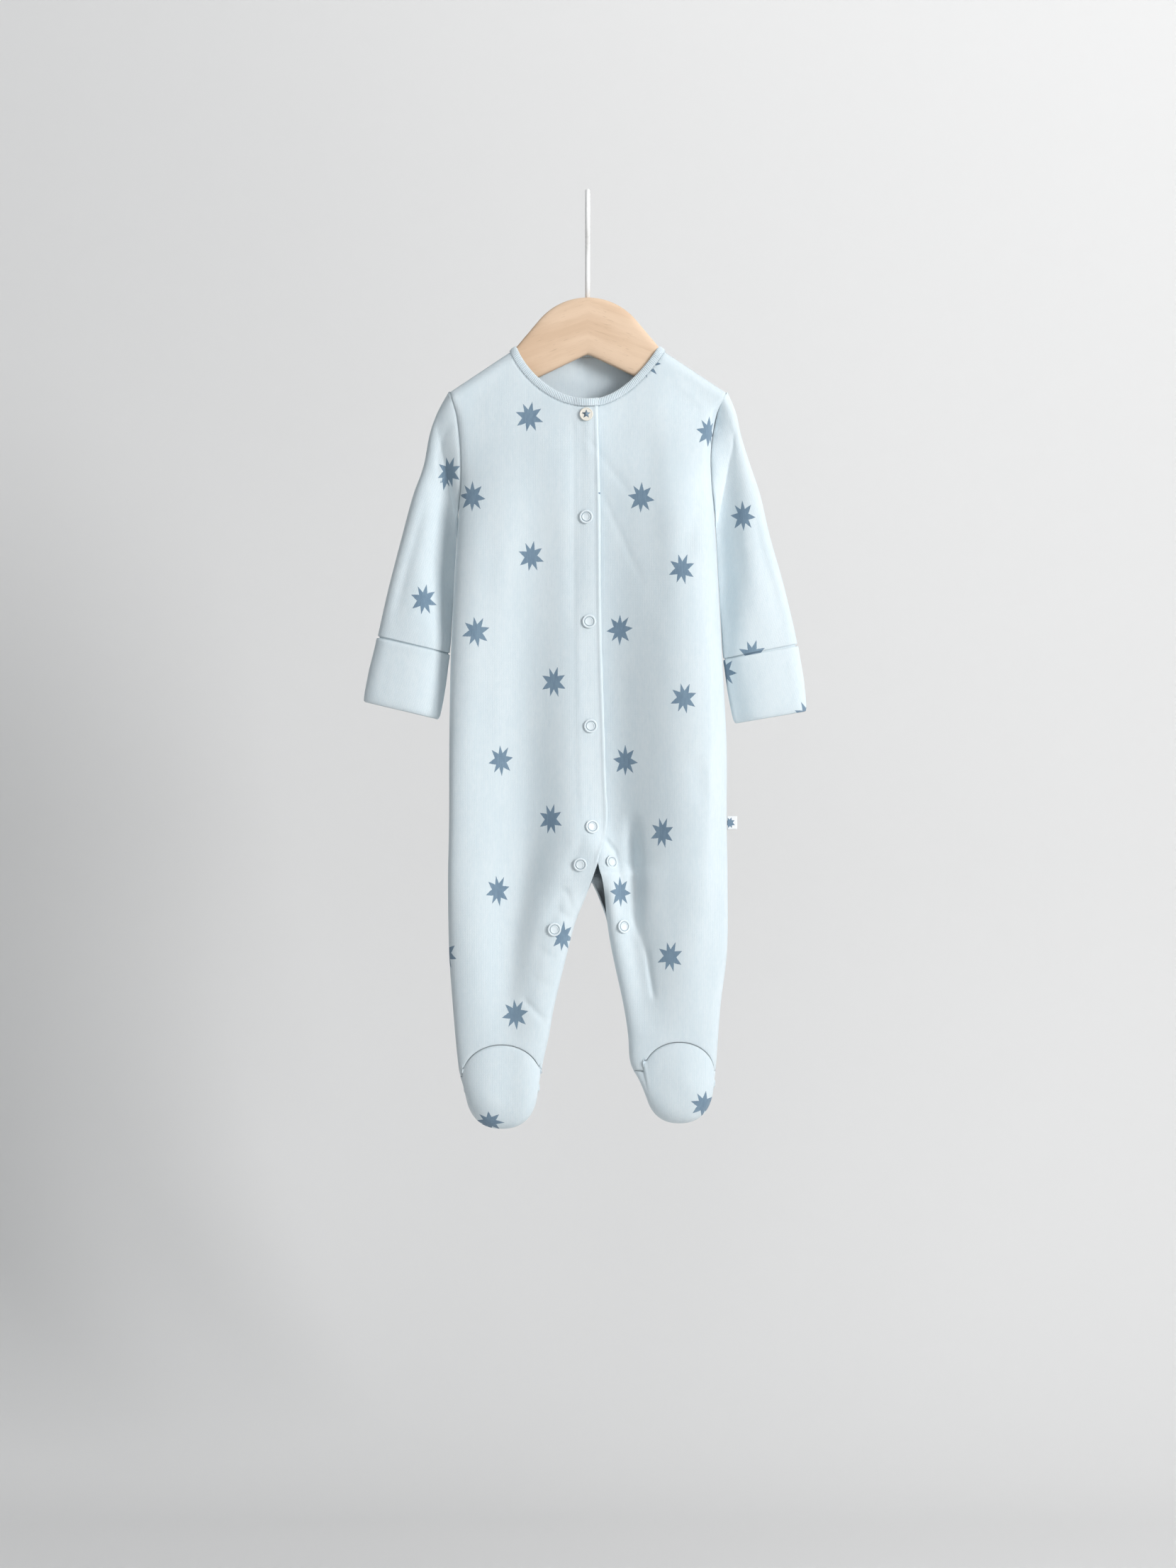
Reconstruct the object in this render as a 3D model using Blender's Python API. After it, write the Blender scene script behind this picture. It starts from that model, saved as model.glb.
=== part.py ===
# A footed baby sleepsuit on a child's wooden hanger, hung by its wire hook.
#
# Frame: +Z up, the front faces -Y, the wearer's right is at -X, and the origin is the inner top of
# the hook's crook, which rests on a rail. Sizes are in millimetres and become metres as each mesh is
# made. A "drop" is how far a point lies below the origin.
#
# The body and legs are one surface with a front and a back face. A point of it is named by its turn,
# the angle round the section from the side seam at 0, and its drop. Front and back meet in the plane
# y = 0, at the shoulders, the sides and the inside legs.

import math
from bisect import bisect_right
from collections import namedtuple

import bmesh
import bpy
from mathutils import Vector

MM = 0.001
WALL = 1.2
GAP = 0.3
HALF_GAP = GAP / 2
SLEEVE_FLATNESS = 0.8

FACES = {"front": -1, "back": 1}
SIDES = {"right": -1, "left": 1}

# Half widths of the body, how far its front and back stand from the plane y = 0, and the power that
# rounds its sides: a lower one makes them fuller.
Section = namedtuple("Section", "drop right left front back flatness")
SECTIONS = (
    Section(144.4, 100.4, 101.5, 22, 19, 0.8),
    Section(153, 97.6, 97.3, 22, 19, 0.8),
    Section(162, 95.2, 94.0, 22, 19, 0.8),
    Section(186, 92.4, 90.2, 22, 20, 0.8),
    Section(211, 91.9, 90.2, 23, 21, 0.8),
    Section(230, 93.5, 91.7, 24, 22, 0.8),
    Section(271, 96.0, 94.1, 25, 23, 0.78),
    Section(334, 99.2, 97.4, 26, 24, 0.72),
    Section(400, 100.4, 100.9, 25, 24, 0.66),
    Section(456, 100.6, 101.0, 24, 23, 0.6),
    Section(500, 101.3, 101.6, 22, 22, 0.58),
    Section(550, 100.6, 101.3, 19, 20, 0.74),
    Section(590, 97.9, 96.6, 16, 18, 0.8),
    Section(632, 94.0, 93.4, 14, 17, 0.8),
    Section(652, 90.5, 91.5, 13, 17, 0.8),
)

# The placket: the middle of the fronts, the edge on top and the edge under it.
Placket = namedtuple("Placket", "drop middle over under")
PLACKET = (
    Placket(144, -1.0, 7.2, -9.0),
    Placket(214, -0.5, 9.1, -8.5),
    Placket(317, 1.0, 10.2, -8.0),
    Placket(425, 2.6, 13.6, -6.5),
    Placket(462, 4.0, 14.2, -3.5),
    Placket(486, 7.3, 7.3, 7.3),
)
CROTCH_FRONT = 486
CROTCH_BACK = 500
LEGS_CLOSED = 518
HOLLOW_START = 380
HOLLOW_SHARE = {"front": 0.06, "back": 0.3}
BACK_MIDDLE = 3.0

# The inside legs' edges.
Inseam = namedtuple("Inseam", "drop right left")
FRONT_INSEAM = (
    Inseam(486, 7.3, 7.3),
    Inseam(498, 3.1, 10.6),
    Inseam(510, -1.2, 12.4),
    Inseam(529, -8.8, 14.2),
    Inseam(550, -14.4, 17.6),
    Inseam(590, -24.2, 26.2),
    Inseam(611, -28.0, 29.4),
    Inseam(632, -32.6, 31.4),
    Inseam(652, -36.0, 41.0),
)
BACK_INSEAM = (Inseam(500, 3.0, 3.0), Inseam(510, -1.2, 7.6)) + FRONT_INSEAM[3:]

# The shoulders and the round neck. The neck's outer ring is where the fronts and the back end, and
# the binding fills the band inside it.
UNDERARM = 230
NECK_X, NECK_DROP = 51.5, 111.0
SHOULDER_SLOPE = 0.665
TIP = {"right": 100.4, "left": 101.5}
BAND = 7.0
FRONT_NECK_DEPTH = 36.0
BACK_NECK_DEPTH = 1.5
NECK_ROUND = {"right": 1.7, "left": 2.1}
RIDGE = 8.8
SHOULDER_FALL = 125
ARMHOLE_TURN, ARMHOLE_POWER = math.radians(60), 2.0
UNDER_INSET = 2.4

# Soft troughs (depth above 0) and ridges (below 0) from one point to another: how wide they are
# across, and their depth.
Fold = namedtuple("Fold", "x drop end_x end_drop width depth")
FOLDS = {
    "front": (
        Fold(-17, 250, -29, 380, 11, 2.0),
        Fold(-29, 380, -42, 600, 12, 3.4),
        Fold(-52, 300, -62, 560, 14, -1.6),
        Fold(27, 300, 31, 400, 8, 2.2),
        Fold(31, 400, 38, 500, 8, 4.2),
        Fold(38, 500, 48, 592, 6, 5.0),
        Fold(60, 330, 66, 520, 14, -1.8),
        Fold(17, 380, 19, 440, 5, -1.4),
        Fold(-16, 506, -27, 528, 4, 1.6),
        Fold(-24, 560, -34, 600, 5, 2.0),
        Fold(80, 415, 84, 432, 10, -2.0),
    ),
    "back": (
        Fold(0, 260, 2, 470, 14, 3.0),
        Fold(-48, 300, -56, 560, 12, 2.6),
        Fold(46, 330, 54, 590, 12, 3.0),
        Fold(-24, 380, -28, 500, 10, -1.8),
        Fold(26, 350, 30, 500, 10, -1.8),
    ),
}

# Each sleeve section runs across from an outer to an inner point. The last is the cuff's fold.
Sleeve = namedtuple("Sleeve", "place outer outer_drop inner inner_drop depth")
SLEEVES = {
    "right": (
        Sleeve(0, 100.4, 144, 94.4, 230, 10),
        Sleeve(1, 108.2, 157, 95.6, 240, 11.5),
        Sleeve(2, 114.6, 174, 96.6, 250, 13),
        Sleeve(3, 119.4, 198, 97.5, 262, 14),
        Sleeve(4, 127.2, 220, 98.6, 278, 14.5),
        Sleeve(5, 135.0, 249, 99.8, 297, 14),
        Sleeve(6, 144.5, 286, 101.2, 316, 13),
        Sleeve(7, 152.8, 323, 102.4, 335, 12),
        Sleeve(8, 163.0, 369, 109.6, 382, 12),
    ),
    "left": (
        Sleeve(0, 101.5, 144.8, 92.6, 230, 10),
        Sleeve(1, 107.4, 158, 93.8, 240, 11.5),
        Sleeve(2, 111.8, 177, 94.8, 251, 13),
        Sleeve(3, 118.4, 198, 95.8, 264, 14),
        Sleeve(4, 125.4, 219, 97.0, 281, 14.5),
        Sleeve(5, 132.4, 249, 98.6, 300, 14),
        Sleeve(6, 142.8, 286, 100.2, 320, 13),
        Sleeve(7, 152.6, 329, 101.6, 339, 12),
        Sleeve(8, 159.2, 376, 109.0, 385, 12),
    ),
}
SLEEVE_VALLEY = {"right": 0.42, "left": 0.26}

# A cuff's cut: how far along the sleeve, and how far out of its surface.
Cut = namedtuple("Cut", "place out")
CUFF_CUT = (
    Cut(7.00, 0.3),
    Cut(7.00, 1.5),
    Cut(7.50, 2.1),
    Cut(7.97, 1.4),
    Cut(8.00, -0.6),
    Cut(7.97, -2.8),
    Cut(7.80, -2.8),
    Cut(7.80, -1.6),
    Cut(7.94, -1.6),
    Cut(7.94, 0.3),
)
SLEEVE_END = 7.9
SLEEVE_PLACES = (0, 0.25, 0.6, 1, 1.5, 2, 2.8, 3.7, 4.6, 5.6, 6.7, SLEEVE_END)

# Feet: the arch where the leg's front ends, the heel's arch behind, and the oval rim of the sole.
Foot = namedtuple("Foot", "arch_x arch_half arch_drop rise heel_x heel_half heel_rise x half top bottom")
FEET = {
    "right": Foot(-62.6, 28.2, 641, 23, -62.6, 27.0, 36, -62.4, 26.4, 647, 679.2),
    "left": Foot(66.4, 25.4, 637, 21, 64.6, 25.6, 34, 66.6, 25.0, 644, 675.2),
}
LEG_END = 645
TOE_BULGE = 6.0
HEEL_BULGE = 3.0
RIM_Y = -2.0

# Small parts: x and drop on the front, and the face's side that carries each.
Popper = namedtuple("Popper", "x drop side")
POPPERS = (
    Popper(-1.0, 235.1, "right"),
    Popper(1.0, 310.8, "right"),
    Popper(2.1, 386.5, "right"),
    Popper(3.1, 459.7, "right"),
    Popper(-5.4, 487.4, "right"),
    Popper(-24.2, 534.4, "right"),
    Popper(19.5, 487.4, "left"),
    Popper(26.0, 532.3, "left"),
)
BUTTON = Popper(-1.0, 159.4, "right")
TAB_DROP, TAB_HEIGHT, TAB_LENGTH, TAB_THICKNESS = 457.0, 9.7, 8.2, 1.2

# The hanger: a crown, straight flanks down to the neck, and arms under the shoulders.
CROWN_DROP, CROWN_RADIUS, CROWN_ANGLE = 75.5, 45.0, math.radians(53)
HANGER_THICK = 12.0
HANGER_CLEAR = 2.9
NOTCH_DROP, NOTCH_SLOPE = 118.2, 0.5
ARM_TIP, ARM_ROUND = 93.0, 13.0

# The hook: a crook over a 29 mm rail, which runs along X, and a stem bent back to the middle.
WIRE = 3.6
CROOK_INSIDE = 33.0
STEM_BEND = 46.0

COLOURS = {
    "cloth": ((0.70, 0.78, 0.82), 0.9, 0.0),
    "rib": ((0.66, 0.75, 0.79), 0.9, 0.0),
    "popper": ((0.66, 0.76, 0.81), 0.35, 0.0),
    "button": ((0.80, 0.76, 0.68), 0.35, 0.0),
    "tab": ((0.88, 0.89, 0.90), 0.7, 0.0),
    "wood": ((0.68, 0.50, 0.35), 0.5, 0.0),
    "wire": ((0.86, 0.86, 0.86), 0.3, 0.6),
}


def along(rows, column, key, at="drop"):
    """A smooth curve through one column of a table, held level past its ends."""
    keys = [getattr(row, at) for row in rows]
    values = [getattr(row, column) for row in rows]
    last = len(rows) - 1
    i = min(max(bisect_right(keys, key) - 1, 0), last - 1)

    def slope(k):
        low, high = max(k - 1, 0), min(k + 1, last)
        return (values[high] - values[low]) / (keys[high] - keys[low])

    span = keys[i + 1] - keys[i]
    t = min(max((key - keys[i]) / span, 0.0), 1.0)
    rise = values[i + 1] - values[i]
    bend = (1 - t) * (slope(i) * span - rise) - t * (slope(i + 1) * span - rise)
    return values[i] + rise * t + t * (1 - t) * bend


def ease(t):
    t = min(max(t, 0.0), 1.0)
    return t * t * (3 - 2 * t)


def quarter_round(t):
    """Rises from 0 to 1 as a quarter circle does, and falls below 0 the same way."""
    if t < 0:
        return -quarter_round(-t)
    return 1.0 if t >= 1 else math.sqrt(1 - (1 - t) ** 2)


def signed_power(value, power):
    return math.copysign(abs(value) ** power, value)


def shoulder_line(x):
    return NECK_DROP + (abs(x) - NECK_X) * SHOULDER_SLOPE


def tip_drop(side):
    return shoulder_line(TIP[side])


def inner_edge(face, side, drop):
    """Where a half of the section ends: the middle of the body, then the inside leg."""
    if face == "front":
        if drop <= CROTCH_FRONT:
            return along(PLACKET, "middle", drop)
        return along(FRONT_INSEAM, side, drop)
    if drop <= CROTCH_BACK:
        return BACK_MIDDLE * ease((drop - UNDERARM) / (CROTCH_BACK - UNDERARM))
    return along(BACK_INSEAM, side, drop)


def first_turn(side, drop):
    """The turn at a half's outer edge: 0 at the side seam, and more along the armhole."""
    part = (drop - tip_drop(side)) / (UNDERARM - tip_drop(side))
    if part >= 1:
        return 0.0
    return ARMHOLE_TURN * math.cos(math.pi / 2 * max(part, 0.0)) ** ARMHOLE_POWER


def last_turn(face, drop):
    """The turn at a half's inner edge: a right angle at the middle, and two at the inside leg."""
    start = CROTCH_FRONT - 6 if face == "front" else CROTCH_BACK - 16
    early = ease((drop - HOLLOW_START) / (start - HOLLOW_START))
    late = ease((drop - start) / (LEGS_CLOSED - start))
    share = HOLLOW_SHARE[face]
    return math.pi / 2 * (1 + share * early + (1 - share) * late)


def turn_at(face, side, x, drop):
    outer = SIDES[side] * along(SECTIONS, side, drop)
    part = (x - outer) / (inner_edge(face, side, drop) - outer)
    first, last = math.cos(first_turn(side, drop)), math.cos(last_turn(face, drop))
    return math.acos(min(max(first - part * (first - last), -1.0), 1.0))


def fold_depth(face, x, drop):
    total = 0.0
    for fold in FOLDS[face]:
        run = Vector((fold.end_x - fold.x, fold.end_drop - fold.drop))
        way = Vector((x - fold.x, drop - fold.drop))
        part = way.dot(run) / run.length_squared
        across = abs(way.cross(run)) / run.length
        fade = ease(part * 3 + 0.6) * ease((1 - part) * 3 + 0.6)
        total += fold.depth * fade * math.exp(-((across / fold.width) ** 2))
    return total


def under_inset(side, x, drop):
    """The left front lies behind the right one where they overlap."""
    if side == "right" or drop > CROTCH_FRONT + 8:
        return 0.0
    past_edge = x - along(PLACKET, "over", drop)
    return UNDER_INSET * (1 - ease((past_edge - 2) / 9)) * (1 - ease((drop - CROTCH_FRONT) / 8))


def suit_point(face, side, turn, drop):
    """A point of the body's or a leg's outer surface."""
    outer = SIDES[side] * along(SECTIONS, side, drop)
    inner = inner_edge(face, side, drop)
    first, last = math.cos(first_turn(side, drop)), math.cos(last_turn(face, drop))
    x = outer + (inner - outer) * (first - math.cos(turn)) / (first - last)
    below = drop - shoulder_line(x)
    full = along(SECTIONS, face, drop)
    depth = RIDGE * quarter_round(below / RIDGE) + (full - RIDGE) * ease(below / SHOULDER_FALL)
    rounding = signed_power(math.sin(turn), along(SECTIONS, "flatness", drop))
    depth -= fold_depth(face, x, drop) * ease(below / 40)
    if face == "front":
        depth -= under_inset(side, x, drop)
    return Vector((x, FACES[face] * depth * rounding, -drop))


def suit_normal(face, side, turn, drop):
    step = 0.002
    across = suit_point(face, side, turn + step, drop) - suit_point(face, side, turn - step, drop)
    down = suit_point(face, side, turn, drop + step) - suit_point(face, side, turn, drop - step)
    return (down.cross(across) * SIDES[side] * FACES[face]).normalized()


def suit_at(face, side, x, drop, out=0.0):
    """A point over or under the surface, by its x and drop."""
    turn = turn_at(face, side, x, drop)
    return suit_point(face, side, turn, drop) + suit_normal(face, side, turn, drop) * out


def neck_ring(face, side, part, ring):
    """The neck's curve from the middle, part 0, to the shoulder, part 1: its x and drop. Ring 0 is
    the binding's edge, and ring 1 the line where the fronts and the back end."""
    angle = math.pi / 2 * part
    reach = BAND / math.hypot(1, SHOULDER_SLOPE) * ring
    half = NECK_X + reach
    depth = FRONT_NECK_DEPTH + 1.2 * ring if face == "front" else BACK_NECK_DEPTH + 2.6 * ring
    power = NECK_ROUND[side] if face == "front" else 1.6
    drop = NECK_DROP + reach * SHOULDER_SLOPE + depth * abs(math.cos(angle)) ** power
    return SIDES[side] * half * math.sin(angle), drop


def top_edge(face, side, u, inner_x):
    """The upper edge of a front or of half the back, from its inner edge, u 0, to the shoulder tip."""
    neck_end = round(NECK_SHARE[face] * COLUMNS[face]) / COLUMNS[face]
    if u < neck_end:
        half = neck_ring(face, side, 1, 1)[0]
        start = math.asin(inner_x / half) / (math.pi / 2)
        return neck_ring(face, side, start + (1 - start) * u / neck_end, 1)
    x, drop = neck_ring(face, side, 1, 1)
    reach = SIDES[side] * TIP[side] - x
    part = (u - neck_end) / (1 - neck_end)
    return x + reach * part, shoulder_line(x + reach * part)


def arch(x, middle, half, drop, rise):
    inside = max(1 - ((x - middle) / half) ** 2, 0.0)
    return drop - rise * math.sqrt(inside)


def leg_end(face, side, x):
    """The drop where a leg's front or back ends, along the seam of the toe cap or the heel."""
    foot = FEET[side]
    if face == "front":
        return arch(x, foot.arch_x, foot.arch_half, foot.arch_drop, foot.rise)
    return arch(x, foot.heel_x, foot.heel_half, foot.arch_drop, foot.heel_rise)


YOKE_ROWS = (0.0, 0.006, 0.03, 0.075, 0.15, 0.27, 0.41, 0.56, 0.71, 0.86, 0.955)
BODY_ROWS = (230, 260, 292, 325, 358, 392, 425, 452, 472, 486, 493, 500)
LEG_ROWS = (508, 518, 532, 548, 566, 584)
FOOT_PARTS = (0.25, 0.5, 0.75, 1.0)
COLUMNS = {"front": 14, "back": 11}
NECK_SHARE = {"front": 0.5, "back": 0.45}
FOOT_CLEAR = 0.54

# How far past the middle the binding runs on each front, as a part of its curve, and its cut: how
# far down the band, and how far out of the body's surface.
BINDING_START = {"left": -0.11, "right": -0.09}
BINDING_CUT = ((0.87, 0.3), (0.5, 0.6), (0.06, 0.35), (0.0, -0.3), (0.06, -1.0), (0.87, -1.0))
BINDING_COLUMNS = 88

# Turned parts from the middle of the base, round to the middle of the top: radius and height.
POPPER_CUT = ((0, 0), (5.0, 0), (5.0, 0.7), (4.3, 1.2), (3.5, 0.6), (2.7, 1.0), (1.8, 0.5), (0, 0.5))
BUTTON_CUT = ((0, 0), (5.0, 0), (5.0, 0.9), (4.5, 1.4), (3.9, 1.2), (0, 1.2))
SEAT = 0.4


def panel_edge(face, side, drop):
    """A panel's inner edge: for the fronts, the placket's edges and then the inside leg."""
    if face == "front" and drop < CROTCH_FRONT:
        return along(PLACKET, "over" if side == "right" else "under", drop)
    return inner_edge(face, side, drop)


def panel_turn_drop(face, side, u, row):
    """The turn and drop of a panel's grid point. Rows count down from the neck to the foot."""
    body_start = len(YOKE_ROWS)
    rows = BODY_ROWS + LEG_ROWS
    if row < body_start:
        share = YOKE_ROWS[row]
        neck_bottom = neck_ring(face, side, 0, 1)[1]
        edge_x = panel_edge(face, side, neck_bottom + (UNDERARM - neck_bottom) * share)
        x, top = top_edge(face, side, u, edge_x)
        drop = top + (UNDERARM - top) * share
        low_turn = turn_at(face, side, panel_edge(face, side, UNDERARM), UNDERARM) * (1 - u)
        low_x = suit_point(face, side, low_turn, UNDERARM).x
        top_outer = SIDES[side] * along(SECTIONS, side, top)
        low_outer = SIDES[side] * along(SECTIONS, side, UNDERARM)
        top_part = (x - top_outer) / (edge_x - top_outer)
        low_part = (low_x - low_outer) / (panel_edge(face, side, UNDERARM) - low_outer)
        part = top_part + (low_part - top_part) * ease(share)
        outer = SIDES[side] * along(SECTIONS, side, drop)
        return turn_at(face, side, outer + (edge_x - outer) * part, drop), drop
    row -= body_start
    if row < len(rows):
        drop = rows[row]
        return turn_at(face, side, panel_edge(face, side, drop), drop) * (1 - u), drop
    part = FOOT_PARTS[row - len(rows)]
    turn, drop = math.pi * (1 - u), LEG_END
    for _ in range(3):
        drop = leg_end(face, side, suit_point(face, side, turn, drop).x)
        drop = rows[-1] + (drop - rows[-1]) * part
    return turn, drop


PANEL_ROWS = len(YOKE_ROWS) + len(BODY_ROWS) + len(LEG_ROWS) + len(FOOT_PARTS) - 1
SPLIT_ROW = len(YOKE_ROWS) + BODY_ROWS.index(CROTCH_BACK)


def panel_point(face, side, u, row, depth):
    """A wall's point: depth 0 on the outside, 1 on the inside, kept half a gap off every seam."""
    turn, drop = panel_turn_drop(face, side, u, row)
    if row == PANEL_ROWS:
        drop -= FOOT_CLEAR
    point = suit_point(face, side, turn, drop) - suit_normal(face, side, turn, drop) * WALL * depth
    seam_y = FACES[face] * HALF_GAP
    if (point.y - seam_y) * FACES[face] < 0:
        point.y = seam_y
    return point


def sleeve_point(side, angle, place):
    """A point of a sleeve: angle 0 at the outer fold, a quarter at the front, a half inside."""
    rows = SLEEVES[side]
    values = [along(rows, column, place, "place") for column in rows[0]._fields[1:]]
    outer, outer_drop, inner, inner_drop, depth = values
    start = Vector((SIDES[side] * outer, 0, -outer_drop))
    end = Vector((SIDES[side] * inner, 0, -inner_drop))
    part = (1 - math.cos(angle)) / 2
    point = start.lerp(end, part)
    valley = math.exp(-(((math.degrees(angle) - 140) / 32) ** 2)) * SLEEVE_VALLEY[side]
    valley *= 1 - ease((place - 5) / 2)
    point.y = -depth * signed_power(math.sin(angle), SLEEVE_FLATNESS) * (1 - valley)
    if place >= 1.5:
        return point
    edge = suit_point(*armhole_spot(side, angle))
    edge.x += SIDES[side] * GAP * (1 + 0.6 * part)
    return edge.lerp(point, ease(place / 1.5))


def armhole_spot(side, angle):
    face = "front" if math.sin(angle) >= 0 else "back"
    drop = tip_drop(side) + (UNDERARM - tip_drop(side)) * (1 - math.cos(angle)) / 2
    return face, side, first_turn(side, drop), drop


def sleeve_normal(side, angle, place):
    """It starts along the body's own normal where the sleeve leads on from it, so that the two
    walls' cut edges lie parallel."""
    step = 0.003
    above = max(place - step, 0)
    around = sleeve_point(side, angle + step, place) - sleeve_point(side, angle - step, place)
    down = sleeve_point(side, angle, place + step) - sleeve_point(side, angle, above)
    normal = (around.cross(down) * SIDES[side]).normalized()
    if place >= 0.6:
        return normal
    own = max(ease(place / 0.6), ease((1 - math.cos(angle)) * 0.5))
    return suit_normal(*armhole_spot(side, angle)).lerp(normal, own).normalized()


def grid_mesh(columns, rows, place, closed=False, solid=True, ring=False, split_row=None):
    """A grid whose points place(column, row, depth, half) sets. A solid grid gets an inner layer at
    depth 1, a ring is closed along its rows too, and a split parts the middle column below a row."""
    mesh = bmesh.new()
    bmesh.ops.create_grid(mesh, x_segments=columns, y_segments=rows, size=1)
    column_of = mesh.verts.layers.int.new("column")
    row_of = mesh.verts.layers.int.new("row")
    depth_of = mesh.verts.layers.int.new("depth")
    for vert in mesh.verts:
        vert[column_of] = round((vert.co.x + 1) / 2 * columns)
        vert[row_of] = round((1 - vert.co.y) / 2 * rows)
    if split_row is not None:
        middle = columns // 2
        cut = [
            edge
            for edge in mesh.edges
            if all(v[column_of] == middle and v[row_of] >= split_row for v in edge.verts)
        ]
        bmesh.ops.split_edges(mesh, edges=cut)
    if closed or ring:
        at = {(v[column_of], v[row_of]): v for v in mesh.verts}
        joined = {}
        if closed:
            joined.update({at[columns, j]: at[0, j] for j in range(rows + 1)})
        if ring:
            joined.update({at[i, rows]: at[i, 0] for i in range(columns + 1)})
        if closed and ring:
            joined[at[columns, rows]] = at[0, 0]
            joined[at[columns, 0]] = at[0, 0]
            joined[at[0, rows]] = at[0, 0]
        bmesh.ops.weld_verts(mesh, targetmap=joined)
    if solid:
        made = bmesh.ops.extrude_face_region(mesh, geom=mesh.faces[:])
        for item in made["geom"]:
            if isinstance(item, bmesh.types.BMVert):
                item[depth_of] = 1
    elif not closed or not ring:
        open_edges = [edge for edge in mesh.edges if edge.is_boundary]
        bmesh.ops.holes_fill(mesh, edges=open_edges)
    halves = {}
    for vert in mesh.verts:
        mean = sum(face.calc_center_median().x for face in vert.link_faces) / len(vert.link_faces)
        halves[vert] = -1 if mean < 0 else 1
    for vert, half in halves.items():
        vert.co = place(vert[column_of], vert[row_of], vert[depth_of], half) * MM
    bmesh.ops.recalc_face_normals(mesh, faces=mesh.faces)
    if mesh.calc_volume(signed=True) < 0:
        bmesh.ops.reverse_faces(mesh, faces=mesh.faces)
    return mesh


def make_object(name, mesh, finish):
    data = bpy.data.meshes.new(name)
    mesh.to_mesh(data)
    mesh.free()
    data.shade_smooth()
    data.set_sharp_from_angle(angle=math.radians(45))
    item = bpy.data.objects.new(name, data)
    bpy.context.collection.objects.link(item)
    item.data.materials.append(finish)
    return item


def make_finishes():
    finishes = {}
    for name, (colour, roughness, metallic) in COLOURS.items():
        finish = bpy.data.materials.new(name)
        finish.use_nodes = True
        shader = finish.node_tree.nodes["Principled BSDF"]
        shader.inputs["Base Color"].default_value = (*colour, 1)
        shader.inputs["Roughness"].default_value = roughness
        shader.inputs["Metallic"].default_value = metallic
        finishes[name] = finish
    return finishes


def make_fronts(finish):
    for side in SIDES:
        def place(column, row, depth, half, side=side):
            return panel_point("front", side, column / COLUMNS["front"], row, depth)

        make_object("front_" + side, grid_mesh(COLUMNS["front"], PANEL_ROWS, place), finish)


def make_back(finish):
    half_columns = COLUMNS["back"]

    def place(column, row, depth, half):
        side = "right" if column < half_columns else "left"
        if column == half_columns:
            side = "right" if half < 0 else "left"
        u = abs(column - half_columns) / half_columns
        return panel_point("back", side, u, row, depth)

    mesh = grid_mesh(2 * half_columns, PANEL_ROWS, place, split_row=SPLIT_ROW)
    make_object("back", mesh, finish)


def sleeve_angles():
    """The angles round a sleeve whose points meet those of the armhole."""
    angles = [math.acos(1 - 2 * part) for part in YOKE_ROWS + (1.0,)]
    return angles + [2 * math.pi - angle for angle in reversed(angles[1:-1])]


def make_sleeves(finish):
    angles = sleeve_angles()
    around = len(angles)
    for side in SIDES:
        def place(column, row, depth, half, side=side):
            angle = angles[column % around]
            point = sleeve_point(side, angle, SLEEVE_PLACES[row])
            return point - sleeve_normal(side, angle, SLEEVE_PLACES[row]) * WALL * depth

        mesh = grid_mesh(around, len(SLEEVE_PLACES) - 1, place, closed=True)
        make_object("sleeve_" + side, mesh, finish)


def make_cuffs(finish):
    angles = sleeve_angles()
    around = len(angles)
    for side in SIDES:
        def place(column, row, depth, half, side=side):
            angle = angles[column % around]
            cut = CUFF_CUT[row % len(CUFF_CUT)]
            point = sleeve_point(side, angle, cut.place)
            return point + sleeve_normal(side, angle, min(cut.place, SLEEVE_END)) * cut.out

        mesh = grid_mesh(around, len(CUFF_CUT), place, closed=True, ring=True, solid=False)
        make_object("cuff_" + side, mesh, finish)


def neck_run(ring, steps):
    """The binding's edge from the left front's placket, round the back, to the right front's."""
    stations = [("front", "left", s / steps) for s in range(steps)]
    stations += [("back", "left", 1 - s / steps) for s in range(steps)]
    stations += [("back", "right", s / steps) for s in range(steps)]
    stations += [("front", "right", 1 - s / steps) for s in range(steps + 1)]
    run = []
    for face, side, part in stations:
        if face == "front":
            part = BINDING_START[side] + (1 - BINDING_START[side]) * part
        x, drop = neck_ring(face, side, part, ring)
        run.append((face, side, x, drop))
    return run


def make_binding(finish):
    """A band with a rounded top edge, thicker than the cloth, in the ring between the two curves."""
    steps = 60
    inner_run, outer_run = neck_run(0, steps), neck_run(1, steps)
    middles = []
    for near, far in zip(inner_run, outer_run):
        x, drop = (near[2] + far[2]) / 2, (near[3] + far[3]) / 2
        middles.append(suit_at(near[0], near[1], x, drop))
    lengths = [0.0]
    for before, after in zip(middles, middles[1:]):
        lengths.append(lengths[-1] + (after - before).length)

    def place(column, row, depth, half):
        want = lengths[-1] * column / BINDING_COLUMNS
        i = min(bisect_right(lengths, want), len(lengths) - 1) - 1
        part = (want - lengths[i]) / (lengths[i + 1] - lengths[i])
        down, out = BINDING_CUT[row % len(BINDING_CUT)]
        ends = []
        for near, far in zip(inner_run[i : i + 2], outer_run[i : i + 2]):
            face, side, x, drop = near
            x, drop = x + (far[2] - x) * down, drop + (far[3] - drop) * down
            ends.append(suit_at(face, side, x, drop, out))
        return ends[0].lerp(ends[1], part)

    mesh = grid_mesh(BINDING_COLUMNS, len(BINDING_CUT), place, ring=True, solid=False)
    make_object("neck_binding", mesh, finish)


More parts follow.
